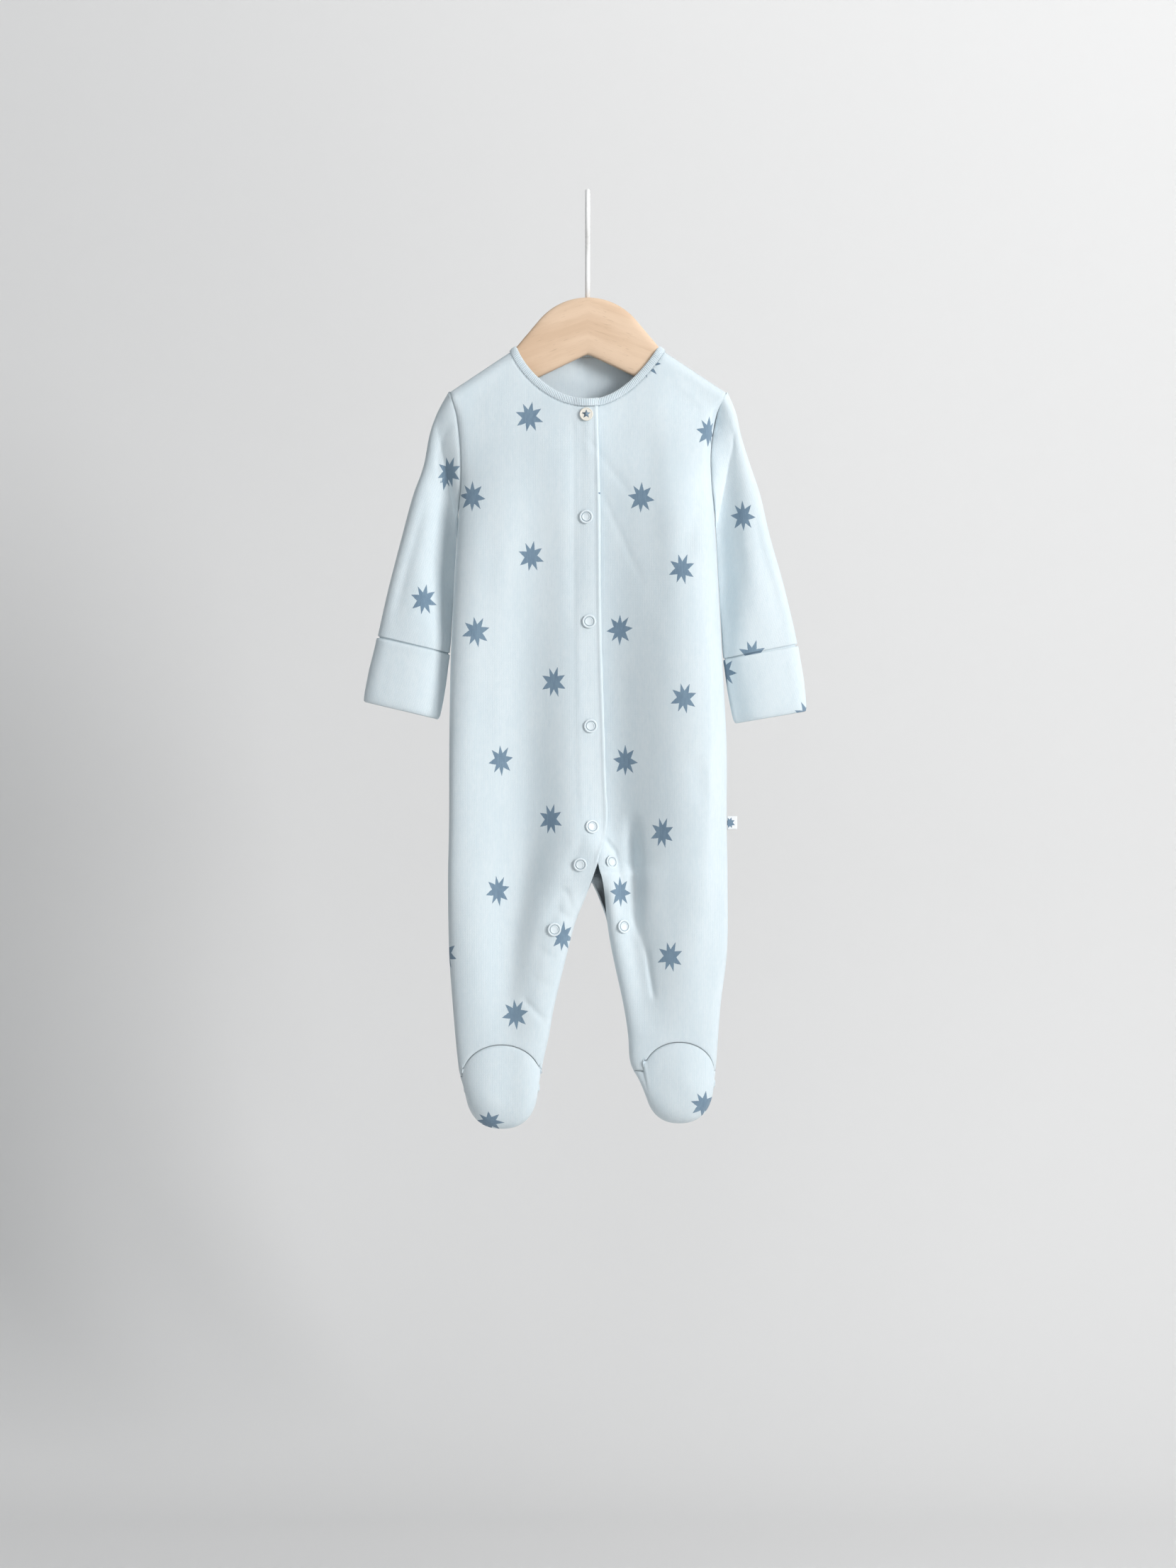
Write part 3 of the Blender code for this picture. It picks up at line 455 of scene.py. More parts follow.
def makeStarGroup():
    # star: 1 inside an eight-pointed star of radius 1 about the print map's zero
    group, inside, outside = newGroup(
        "starPrint", {"Ragged": starForm["ragged"], "Notch": starForm["notch"]}, ["Star"])
    x, y = mapParts(group, "print")
    angle = mathNode(group, "ARCTAN2", x, y)
    # the tips aren't evenly spaced
    twice = ("SUBTRACT", ("MULTIPLY", angle, 2.0), starForm["bendFrom"])
    bent = ("SUBTRACT", angle, ("MULTIPLY", ("SINE", twice), starForm["bend"]))
    turns = ("MULTIPLY", bent, starForm["points"] / (2 * math.pi))
    fromTip = ("MULTIPLY", ("PINGPONG", turns, 0.5), 2.0)
    pinch = ("SUBTRACT", ("DIVIDE", 1.0, inside.outputs["Notch"]), 1.0)
    reach = ("DIVIDE", 1.0, ("ADD", ("MULTIPLY", fromTip, pinch), 1.0))
    wobble = ("COSINE", ("MULTIPLY", angle, starForm["lobes"]))
    uneven = ("ADD", ("MULTIPLY", wobble, starForm["uneven"] / 2), 1.0)
    grit = noiseNode(group, objectPlace(group), starForm["grit"], 2.0)
    rag = ("MULTIPLY", ("SUBTRACT", grit, 0.5), inside.outputs["Ragged"])
    radius = ("ADD", ("SQRT", ("ADD", ("POWER", x, 2.0), ("POWER", y, 2.0))), rag)
    past = mathNode(group, "SUBTRACT", radius, ("MULTIPLY", reach, uneven))
    mask = rampNode(group, past, -starForm["edge"], starForm["edge"], 1.0, 0.0)
    group.links.new(mask, outside.inputs["Star"])
    return group


knitForm = {"column": 0.00085, "course": 0.0007, "slant": 1.6, "loops": 0.30, "columns": 0.26,
            "fuzz": 0.5, "fuzzGrain": 1500.0, "slub": (1.0, 1.0, 0.25), "slubCoarse": 55.0, "slubFine": 700.0}


def makeJerseyGroup():
    # height: the columns of small V loops of a jersey knit; tone: slow changes over the cloth
    group, inside, outside = newGroup(
        "jerseyKnit", {"Column": knitForm["column"], "Course": knitForm["course"]}, ["Height", "Tone"])
    x, y = mapParts(group, "cut")
    across = mathNode(group, "DIVIDE", x, inside.outputs["Column"])
    down = ("DIVIDE", y, inside.outputs["Course"])
    rise = ("ADD", down, ("MULTIPLY", ("PINGPONG", across, 0.5), knitForm["slant"]))
    loops = ("MULTIPLY", ("SINE", ("MULTIPLY", rise, 2 * math.pi)), knitForm["loops"])
    columns = ("MULTIPLY", ("COSINE", ("MULTIPLY", across, 2 * math.pi)), knitForm["columns"])
    place = objectPlace(group)
    fuzz = ("MULTIPLY", noiseNode(group, place, knitForm["fuzzGrain"], 3.0, 0.7), knitForm["fuzz"])
    slub = stretched(group, place, knitForm["slub"])
    coarse = ("MULTIPLY", noiseNode(group, slub, knitForm["slubCoarse"], 5.0, 0.6), 0.6)
    fine = ("MULTIPLY", noiseNode(group, slub, knitForm["slubFine"], 2.0, 0.6), 0.4)
    group.links.new(mathNode(group, "ADD", ("ADD", loops, columns), fuzz), outside.inputs["Height"])
    group.links.new(mathNode(group, "ADD", coarse, fine), outside.inputs["Tone"])
    return group


def startMaterial(name, roughness, **values):
    material = bpy.data.materials.new(name)
    material.use_nodes = True
    tree = material.node_tree
    shader = tree.nodes["Principled BSDF"]
    values = {label.replace("_", " "): value for label, value in values.items()}
    fillInputs(tree, shader, {"Roughness": roughness, **values})
    return material, tree, shader


def dressShader(tree, shader, colour, height, distance, **values):
    relief = newNode(tree, "Bump", {"Strength": 1.0, "Distance": distance, "Height": height})
    fillInputs(tree, shader, {"Base Color": colour, "Normal": relief.outputs[0], **values})


def groupNode(tree, group, **values):
    node = tree.nodes.new("ShaderNodeGroup")
    node.node_tree = group
    fillInputs(tree, node, values)
    return node


jerseyLook = {
    "light": (0.775, 0.86, 0.90), "dark": (0.715, 0.815, 0.865), "insideLight": (0.78, 0.875, 0.93),
    "insideDark": (0.73, 0.835, 0.90), "star": (0.175, 0.265, 0.36), "starWorn": (0.23, 0.335, 0.435),
    # the last rib colour is painted shade for the grooves between the ribs
    "rib": (0.79, 0.865, 0.90), "ribDark": (0.735, 0.82, 0.86), "ribGrooveShade": (0.60, 0.70, 0.76),
    "roughness": 0.86, "sheen": 0.25, "shine": 0.25, "tone": 0.35, "relief": 0.00012,
    "ribTone": 0.3, "ribRelief": 0.00008, "ribShadeRamp": (-0.9, 0.5),
    "ribLoops": {"Column": 0.00065, "Course": 0.0006},
}
starGroup = makeStarGroup()
jerseyGroup = makeJerseyGroup()


def startKnit(name, toneLow, **sizes):
    material, tree, shader = startMaterial(
        name, jerseyLook["roughness"],
        Sheen_Weight=jerseyLook["sheen"], Specular_IOR_Level=jerseyLook["shine"])
    knit = groupNode(tree, jerseyGroup, **sizes)
    tone = rampNode(tree, knit.outputs["Tone"], toneLow, 1 - toneLow)
    return material, tree, shader, knit.outputs["Height"], tone


def makeJersey(name, light, dark, printed):
    material, tree, shader, height, tone = startKnit(name, jerseyLook["tone"])
    colour = mixNode(tree, tone, jerseyLook[dark], jerseyLook[light])
    if printed:
        mark = groupNode(tree, starGroup)
        ink = mixNode(tree, tone, jerseyLook["star"], jerseyLook["starWorn"])
        colour = mixNode(tree, mark.outputs["Star"], colour, ink)
    dressShader(tree, shader, colour, height, jerseyLook["relief"])
    return material


ribPitch = 1.3


def makeRib():
    # the cut map's first number runs along the band, so the ribs lie across it
    look = jerseyLook
    material, tree, shader, height, tone = startKnit("ribKnit", look["ribTone"], **look["ribLoops"])
    turns = ("MULTIPLY", mapParts(tree, "cut")[0], 2 * math.pi / (ribPitch * mm))
    # the grooves between the ribs are painted a darker colour: painted shade, laid over the ribs' real relief
    rib = rampNode(tree, mathNode(tree, "COSINE", turns), *look["ribShadeRamp"])
    colour = mixNode(tree, rib, look["ribGrooveShade"], mixNode(tree, tone, look["ribDark"], look["rib"]))
    dressShader(tree, shader, colour, height, look["ribRelief"])
    return material


def makePlain(name, colour, darker, roughness, grain, distance, coat=(0.0, 0.03)):
    # a painted or moulded finish with a faint grain
    material, tree, shader = startMaterial(name, roughness, Coat_Weight=coat[0], Coat_Roughness=coat[1])
    spots = noiseNode(tree, objectPlace(tree), grain, 4.0)
    rough = rampNode(tree, spots, 0.3, 0.7, roughness - 0.05, roughness + 0.06)
    dressShader(tree, shader, mixNode(tree, spots, darker, colour), spots, distance, Roughness=rough)
    return material


woodLook = {
    "light": (0.81, 0.605, 0.435), "dark": (0.71, 0.505, 0.345), "fleck": (0.50, 0.33, 0.21), "flecks": 0.40,
    "rise": 0.35, "rings": (10.0, 40.0, 90.0), "tone": (12.0, 30.0, 30.0), "fibres": (110.0, 900.0, 1100.0),
    "roughness": 0.46, "rougher": (0.42, 0.56), "shine": 0.4, "relief": 0.00006,
}


def makeWood():
    # pale beech: soft wavy grain that rises to the middle, with short dark flecks along it
    material, tree, shader = startMaterial(
        "paleBeech", woodLook["roughness"], Specular_IOR_Level=woodLook["shine"])
    x, y, z = newNode(tree, "SeparateXYZ", {0: objectPlace(tree)}).outputs
    level = mathNode(tree, "ADD", z, ("MULTIPLY", ("ABSOLUTE", x), woodLook["rise"]))
    swept = newNode(tree, "CombineXYZ", {0: x, 1: y, 2: level}).outputs[0]
    rings, tone, fibres = (noiseNode(tree, stretched(tree, swept, woodLook[layer]), 1.0, 4.0, 0.6)
                           for layer in ("rings", "tone", "fibres"))
    grain = mathNode(tree, "ADD", ("MULTIPLY", rings, 0.6), ("MULTIPLY", tone, 0.4))
    colour = mixNode(tree, rampNode(tree, grain, 0.4, 0.62), woodLook["light"], woodLook["dark"])
    flecks = mathNode(tree, "MULTIPLY", rampNode(tree, fibres, 0.60, 0.70), woodLook["flecks"])
    colour = mixNode(tree, flecks, colour, woodLook["fleck"])
    rough = rampNode(tree, fibres, 0.3, 0.7, *woodLook["rougher"])
    dressShader(tree, shader, colour, fibres, woodLook["relief"], Roughness=rough)
    return material


tabLook = {"dark": (0.88, 0.89, 0.90), "light": (0.95, 0.955, 0.96), "threads": 900.0, "relief": 0.00004,
           "roughness": 0.5, "sheen": 0.2, "star": {"Ragged": 0.02, "Notch": 0.58}}


def makeTabWeave():
    # a satin label with a small plain star, on the piece's own print map
    material, tree, shader = startMaterial("satinLabel", tabLook["roughness"], Sheen_Weight=tabLook["sheen"])
    mark = groupNode(tree, starGroup, **tabLook["star"])
    wave = newNode(tree, "TexWave", {"Vector": objectPlace(tree), "Scale": tabLook["threads"]})
    wave.bands_direction = "Z"
    ground = mixNode(tree, wave.outputs["Fac"], tabLook["dark"], tabLook["light"])
    colour = mixNode(tree, mark.outputs["Star"], ground, jerseyLook["star"])
    dressShader(tree, shader, colour, wave.outputs["Fac"], tabLook["relief"])
    return material


finishes = {
    "jersey": makeJersey("starJersey", "light", "dark", True),
    "inside": makeJersey("jerseyInside", "insideLight", "insideDark", False),
    "rib": makeRib(), "tab": makeTabWeave(), "wood": makeWood(),
}
plainLooks = {  # name, colour, darker colour, roughness, grain, relief, and a coat's weight and roughness
    "thread": ("sewingThread", (0.78, 0.85, 0.89), (0.62, 0.70, 0.75), 0.8, 4000.0, 0.00002),
    "popper": ("pearlPopper", (0.80, 0.875, 0.91), (0.76, 0.84, 0.88), 0.38, 900.0, 0.00001, (0.3, 0.2)),
    # a dark finish that is painted shade in the poppers' grooves and a painted shadow line round their rims
    "popperShade": ("popperShade", (0.42, 0.50, 0.55), (0.37, 0.45, 0.50), 0.5, 900.0, 0.00001),
    "button": ("creamCap", (0.88, 0.84, 0.75), (0.84, 0.80, 0.71), 0.32, 900.0, 0.00001, (0.3, 0.2)),
    "slate": ("slatePaint", (0.20, 0.28, 0.36), (0.24, 0.33, 0.41), 0.5, 2500.0, 0.00001),
    "wire": ("whiteWire", (0.95, 0.95, 0.94), (0.91, 0.91, 0.90), 0.30, 350.0, 0.00003, (0.25, 0.25)),
}
for finish, look in plainLooks.items():
    finishes[finish] = makePlain(*look)
print("finishes:", len(finishes))


def newGrid(columns, rows, place, closed=False, ring=False, splitRow=None):
    # one layer of cloth, each grid point put where place(column, row, half) says
    mesh = bmesh.new()
    bmesh.ops.create_grid(mesh, x_segments=columns, y_segments=rows, size=1)
    columnOf = mesh.verts.layers.int.new("column")
    rowOf = mesh.verts.layers.int.new("row")
    for vert in mesh.verts:
        vert[columnOf] = round((vert.co.x + 1) / 2 * columns)
        vert[rowOf] = round((1 - vert.co.y) / 2 * rows)
    if splitRow is not None:
        middle = columns // 2
        cut = [e for e in mesh.edges if all(v[columnOf] == middle and v[rowOf] >= splitRow for v in e.verts)]
        bmesh.ops.split_edges(mesh, edges=cut)
    if closed or ring:
        at = {(v[columnOf], v[rowOf]): v for v in mesh.verts}
        lastColumn, lastLine = columns if closed else -1, rows if ring else -1
        joined = {vert: at[0 if i == lastColumn else i, 0 if j == lastLine else j]
                  for (i, j), vert in at.items() if i == lastColumn or j == lastLine}
        bmesh.ops.weld_verts(mesh, targetmap=joined)
    halves = {}
    for vert in mesh.verts:
        middleX = sum(face.calc_center_median().x for face in vert.link_faces)
        halves[vert] = -1 if middleX < 0 else 1
    for vert, half in halves.items():
        vert.co = place(vert[columnOf], vert[rowOf], half) * mm
    mesh.normal_update()
    if sum(face.normal.y * face.calc_center_median().y * face.calc_area() for face in mesh.faces) < 0:
        bmesh.ops.reverse_faces(mesh, faces=mesh.faces)
        mesh.normal_update()
    return mesh


def angleOf(column, around):
    return 2 * math.pi * (column % around) / around


def gridLayers(mesh):
    return mesh.verts.layers.int["column"], mesh.verts.layers.int["row"]


def closeEnds(mesh):
    bmesh.ops.holes_fill(mesh, edges=[edge for edge in mesh.edges if edge.is_boundary])
    bmesh.ops.recalc_face_normals(mesh, faces=mesh.faces)


def tuckSeams(mesh, distance, share=1.0):
    # sinks the points next to a seam; distance(column, row) counts rings from it
    columnOf, rowOf = gridLayers(mesh)
    tuck = cloth["seamTuck"]
    for vert in mesh.verts:
        ring = distance(vert[columnOf], vert[rowOf])
        if ring < len(tuck):
            vert.co -= vert.normal * tuck[ring] * share * mm
    mesh.normal_update()


starWide, starTall = 9.8, 11.2  # a star's usual half width and half height
# x, drop, the first tip's turn clockwise in degrees, half width, and half height if it isn't the usual
stars = {
    "frontRight": [(-42.2, 163.1, 15, 10.5), (-83.5, 220.9, 4, 9.6), (-40.8, 264.2, 15, 9.6),
                   (-80.7, 318.7, 33, 10.3), (-24.5, 355.1, 21, 9.3), (-62.8, 411.7, 38, 9.0),
                   (-26.7, 454.3, 20, 8.7), (-65, 506.2, 33, 8.8), (-52.3, 595.7, 36, 9.8),
                   (-101.5, 552, 14, 8), (-18.1, 539.2, 10, 8.4), (16.8, 219.2, 0, 9.6)],
    "frontLeft": [(38.7, 221.8, 6, 9.8), (68, 273.6, 27, 9.8), (23.3, 317.1, 43, 9.5), (69.3, 366.9, 29, 9.8),
                  (27.3, 412, 3, 9), (53.9, 464, 27, 8.6), (23.7, 507.2, 0, 7.6), (59.7, 553.7, 27, 9.4),
                  (87.6, 174, 7, 9.2), (41.5, 123.4, 0, 11)],
    "sleeveRight": [(-100.5, 202.3, 27, 8.8), (-118.8, 295.2, 15, 9.8)],
    "sleeveLeft": [(112.6, 234.8, 0, 9), (119.3, 335.5, 20, 10.5)],
    "cuffRight": [(-169.5, 366.1, 8, 10)],
    "cuffLeft": [(101, 347.6, 0, 9.5), (158.5, 379, 14, 9.5)],
    "toeRight": [(-71.2, 673.6, 0, 11, 7.6)],
    "toeLeft": [(84.2, 661.2, 12, 10, 10)],
}


backRepeat = {"x": (-90, 96), "drop": (150, 640), "across": 39.0, "down": 96.0, "wander": 6,
              "waves": (0.31, 0.17), "layer": 3.1, "seed": 1795498696, "turns": (3, 7), "turnsWithin": 45}


def scatterStars():
    # a half-drop repeat for the cloth that faces away
    (x, lastX), (top, bottom) = backRepeat["x"], backRepeat["drop"]
    (waveX, waveDrop), (turnX, turnDrop) = backRepeat["waves"], backRepeat["turns"]
    made, column = [], 0
    noise.seed_set(backRepeat["seed"])  # unseeded, noise_vector starts from the clock
    while x <= lastX:
        drop = top + (column % 2) * backRepeat["down"] / 2
        while drop <= bottom:
            shift = noise.noise_vector(Vector((x * waveX, drop * waveDrop, backRepeat["layer"])))
            place = (x + shift.x * backRepeat["wander"], drop + shift.y * backRepeat["wander"])
            made.append((*place, (drop * turnDrop + x * turnX) % backRepeat["turnsWithin"], starWide))
            drop += backRepeat["down"]
        x += backRepeat["across"]
        column += 1
    return made


flatMap = {"legsFrom": 455, "legsOver": 60, "away": (3, 3),
           "sideDepth": 9.0, "sideOver": 15, "sideShare": 0.8}


def legMiddle(x, drop):
    # the middle of the body, and lower down of the leg
    side = "right" if x < 0 else "left"
    leg = (sideWay[side] * along("body", side, drop) + along("frontInseam", side, drop)) / 2
    return leg * ease((drop - flatMap["legsFrom"]) / flatMap["legsOver"])


def layPrint(mesh, frontStars, backStars, tilt=0.0, sideDepth=flatMap["sideDepth"], middleOf=legMiddle):
    # the cut map lays the cloth flat, in metres, and the print map counts from the nearest star
    cut = mesh.loops.layers.uv.new("cut")
    marks = mesh.loops.layers.uv.new("print")
    slant = Matrix.Rotation(math.radians(tilt), 2)

    def flatPlace(x, y, drop):
        # the side's depth adds to its width
        off = min(max((x - middleOf(x, round(drop))) / flatMap["sideOver"], -1.0), 1.0)
        return Vector((x + flatMap["sideShare"] * max(sideDepth - abs(y), 0.0) * off, -drop))

    centres = {-1: [], 1: []}
    for way, listed in ((-1, frontStars), (1, backStars)):
        near = [v for v in mesh.verts if v.co.y * way >= -0.5 * mm]
        for x, drop, turn, wide, *tall in listed:
            spot = min(near, key=lambda v: (v.co.x / mm - x) ** 2 + (v.co.z / mm + drop) ** 2)
            found = flatPlace(spot.co.x / mm, spot.co.y / mm, -spot.co.z / mm)
            found += Vector((x - spot.co.x / mm, -(drop + spot.co.z / mm)))
            centres[way].append((found, Matrix.Rotation(math.radians(turn), 2), wide, *(tall or [starTall])))
    for face in mesh.faces:
        corners = [flatPlace(l.vert.co.x / mm, l.vert.co.y / mm, -l.vert.co.z / mm) for l in face.loops]
        way = -1 if face.calc_center_median().y < 0 else 1
        middle = sum(corners, Vector((0, 0))) / len(corners)
        nearest = min(centres[way], key=lambda c: (c[0] - middle).length_squared, default=None)
        for loop, corner in zip(face.loops, corners):
            loop[cut].uv = slant @ corner * mm
            if nearest is None:
                loop[marks].uv = flatMap["away"]
                continue
            centre, turn, wide, tall = nearest
            away = corner - centre
            loop[marks].uv = turn @ Vector((away.x / wide, away.y / tall))


def addObject(name, data):
    made = bpy.data.objects.new(name, data)
    bpy.context.scene.collection.objects.link(made)
    return made


def addMesh(name, mesh, materials):
    data = bpy.data.meshes.new(name)
    mesh.to_mesh(data)
    mesh.free()
    data.shade_smooth()
    for material in materials:
        data.materials.append(material)
    return addObject(name, data)


def finishPiece(name, mesh, materials, nodes, wall=None):
    piece = addMesh(name, mesh, [finishes[material] for material in materials])
    if wall:
        thick = piece.modifiers.new("wall", "SOLIDIFY")
        thick.thickness = wall * mm
        thick.offset = -1
        thick.material_offset = len(materials) - 1
    if nodes:
        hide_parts(*nodes)
    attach(piece, "root")


def finishCloth(name, mesh, node):
    finishPiece(name, mesh, ["jersey", "inside"], [node], cloth["wall"])


panel = {
    "columns": {"front": 84, "back": 60},
    "neckShare": {"front": 0.5, "back": 0.45},
    "crowd": {"front": 1.25, "back": 1.0},
    "yokeRows": 44, "yokePower": 1.15, "bodyStep": 2.0, "legBottom": 584,
    "footRows": 26, "seamGuess": 645, "footClear": 0.3,
}
yokeRows = panel["yokeRows"]
bodyRows = [cloth["underarm"] + panel["bodyStep"] * k
            for k in range(int((panel["legBottom"] - cloth["underarm"]) / panel["bodyStep"]) + 1)]
lastRow = yokeRows + len(bodyRows) + panel["footRows"] - 1
splitRow = yokeRows + bodyRows.index(cloth["crotchBack"])

feet = {
    "right": {"front": (-62.6, 28.2, 23), "back": (-62.6, 27.0, 36), "seamDrop": 641,
              "x": -62.4, "half": 26.4, "top": 647, "bottom": 679.2},
    "left": {"front": (66.4, 25.4, 21), "back": (64.6, 25.6, 34), "seamDrop": 637,
             "x": 66.6, "half": 25.0, "top": 644, "bottom": 675.2},
    "bulge": {"front": 6.0, "back": 3.0}, "rimY": -2.0, "rimPower": 0.85, "waves": (0.9, 0.05, 5.0),
    "columns": 84, "rows": {"front": 44, "back": 52},
}


def shareOf(face, column):
    return (column / panel["columns"][face]) ** panel["crowd"][face]


def topEdge(face, side, u, innerX):
    # the neck and then the shoulder, from the inner edge, u 0, to the shoulder's tip
    columns = panel["columns"][face]
    neckEnd = shareOf(face, round(columns * panel["neckShare"][face] ** (1 / panel["crowd"][face])))
    if u < neckEnd:
        half = neckRing(face, side, 1, 1)[0]
        start = math.asin(innerX / half) / (math.pi / 2)
        return neckRing(face, side, start + (1 - start) * u / neckEnd, 1)
    x, drop = neckRing(face, side, 1, 1)
    x += (sideWay[side] * cloth["tip"][side] - x) * (u - neckEnd) / (1 - neckEnd)
    return x, shoulderLine(x)


def legEnd(face, side, x):
    # the arched seam of the toe cap or the heel: its middle, half width and rise
    middle, half, rise = feet[side][face]
    return feet[side]["seamDrop"] - rise * math.sqrt(max(1 - ((x - middle) / half) ** 2, 0.0))


def panelEdge(face, side, drop):
    if face == "front" and drop < cloth["crotchFront"]:
        return along("placket", "over" if side == "right" else "under", drop)
    return innerEdge(face, side, drop)


def panelTurnDrop(face, side, u, row):
    # rows count down from the neck to the foot
    underarm = cloth["underarm"]
    if row < yokeRows:
        share = (row / yokeRows) ** panel["yokePower"]
        neckBottom = neckRing(face, side, 0, 1)[1]
        edgeX = panelEdge(face, side, neckBottom + (underarm - neckBottom) * share)
        x, top = topEdge(face, side, u, edgeX)
        drop = top + (underarm - top) * share
        lowEdge = panelEdge(face, side, underarm)
        lowX = suitPoint(face, side, turnAt(face, side, lowEdge, underarm) * (1 - u), underarm).x
        topOuter, lowOuter, outer = (sideWay[side] * along("body", side, d) for d in (top, underarm, drop))
        topPart = (x - topOuter) / (edgeX - topOuter)
        lowPart = (lowX - lowOuter) / (lowEdge - lowOuter)
        part = topPart + (lowPart - topPart) * ease(share)
        return turnAt(face, side, outer + (edgeX - outer) * part, drop), drop
    row -= yokeRows
    if row < len(bodyRows):
        drop = bodyRows[row]
        return turnAt(face, side, panelEdge(face, side, drop), drop) * (1 - u), drop
    part = (row - len(bodyRows) + 1) / panel["footRows"]
    turn, drop = math.pi * (1 - u), panel["seamGuess"]
    for _ in range(3):
        drop = legEnd(face, side, suitPoint(face, side, turn, drop).x)
        drop = bodyRows[-1] + (drop - bodyRows[-1]) * part
    return turn, drop


def panelPoint(face, side, u, row):
    turn, drop = panelTurnDrop(face, side, u, row)
    if row == lastRow:
        drop -= panel["footClear"]
    point = suitPoint(face, side, turn, drop)
    seamY = faceWay[face] * cloth["gap"] / 2
    if (point.y - seamY) * faceWay[face] < 0:
        point.y = seamY
    if face == "back":
        point.y -= crotchLift(point.x, drop)
    return point


placketEdge = {"bead": 0.75, "beadAt": 1.5, "beadWidth": 1.1, "under": 0.9, "underWidth": 0.7, "columns": 8}


def rollEdge(mesh, lowest):
    # the folded edge on top stands out a little and turns under
    columnOf, rowOf = gridLayers(mesh)
    edges = {v[rowOf]: v.co.copy() for v in mesh.verts if v[columnOf] == 0}
    for vert in mesh.verts:
        if vert[columnOf] > placketEdge["columns"] or -vert.co.z / mm > lowest:
            continue
        away = (vert.co - edges[vert[rowOf]]).length / mm
        rise = placketEdge["bead"] * bump(away - placketEdge["beadAt"], placketEdge["beadWidth"])
        rise -= placketEdge["under"] * bump(away, placketEdge["underWidth"])
        vert.co += vert.normal * rise * mm
    mesh.normal_update()


def makeFronts():
    columns = panel["columns"]["front"]
    for side in sideWay:
        def place(column, row, half, side=side):
            return panelPoint("front", side, shareOf("front", column), row)

        mesh = newGrid(columns, lastRow, place)
        tuckSeams(mesh, lambda column, row: min(row, columns - column))
        tuckSeams(mesh, lambda column, row: lastRow - row, cloth["hemShare"])
        if side == "right":
            rollEdge(mesh, cloth["crotchFront"])
        name = "front" + side.title()
        layPrint(mesh, stars[name], [])
        finishCloth(name, mesh, "front_" + side)


def makeBack():
    half = panel["columns"]["back"]

    def place(column, row, halfWay):
        side = "right" if column < half or (column == half and halfWay < 0) else "left"
        return panelPoint("back", side, abs(column - half) / half, row)

    mesh = newGrid(2 * half, lastRow, place, splitRow=splitRow)
    tuckSeams(mesh, lambda column, row: min(row, column, 2 * half - column))
    tuckSeams(mesh, lambda column, row: lastRow - row, cloth["hemShare"])
    layPrint(mesh, [], scatterStars())
    finishCloth("backPanel", mesh, "back")


makeFronts()
print("fronts made")
makeBack()
print("back made")


@lru_cache(maxsize=None)
def sleeveRow(side, place):
    columns = ("outer", "outerDrop", "inner", "innerDrop", "depth")
    return tuple(along("sleeve" + side.title(), column, place, "place") for column in columns)


sleeveForm = {
    "around": 128, "rows": 112, "rowPower": 1.1, "flatness": 0.46, "tilt": {"right": 11.7, "left": -11.7},
    "join": 1.2, "joinSlack": 0.6,  # how far down the sleeve takes up the armhole's line
    "lowFrom": 4.5, "lowOver": 2.5,  # low down, the valley beside the body is shallower and narrower
    "valleyOver": 1.5, "valleyLess": 0.3, "narrower": 0.35, "setBackOver": 3, "setBackLess": 0.6,
    "wave": 0.7, "waveAround": 1.6, "waveDown": 0.45, "waveOver": 2, "foldFade": 3, "foldEnds": 0.3,
    "middle": {"x": 97, "drop": 187, "slope": 0.207},
}
# where the sleeve narrows inside the cuff, and how deep the cuff is seated
cuffLine = {"place": 6.95, "width": 0.016, "depth": 1.5, "seat": 1.2, "onSleeve": (7.02, 7.9), "soft": 0.22}
sleeveRows = sleeveForm["rows"]
sleevePlaces = [6.86 * (k / sleeveRows) ** sleeveForm["rowPower"] for k in range(sleeveRows + 1)]
sleevePlaces += [6.89, 6.91, 6.925, 6.935, 6.945, 6.953, 6.96, 6.968, 6.976, 6.986, 7.0, 7.02, 7.05]
sleevePlaces += [7.15, 7.3, 7.45, 7.6, 7.75, 7.9]

# creases on a sleeve: angle and place where each begins and ends, width in degrees, depth
sleeveFolds = {
    "right": [(52, 0.2, 70, 2.4, 9, 0.9), (96, 0.6, 104, 5.5, 14, 1.2), (60, 3.4, 48, 6.6, 10, 0.8),
              (250, 0.4, 262, 5.0, 14, 1.4), (300, 2.0, 290, 6.0, 12, 0.8)],
    "left": [(44, 0.1, 60, 1.8, 8, 0.8), (92, 1.0, 100, 5.8, 15, 0.9), (52, 4.0, 44, 6.8, 10, 0.7),
             (255, 0.4, 266, 5.0, 14, 1.4), (305, 2.0, 292, 6.0, 12, 0.8)],
}


def sleeveFoldDepth(side, degrees, place):
    form, dip = sleeveForm, 0.0
    for startAngle, startPlace, endAngle, endPlace, width, deep in sleeveFolds[side]:
        part = (place - startPlace) / (endPlace - startPlace)
        fade = ease(part * form["foldFade"] + form["foldEnds"])
        fade *= ease((1 - part) * form["foldFade"] + form["foldEnds"])
        dip += deep * fade * bump(degrees - startAngle - (endAngle - startAngle) * part, width)
    return dip


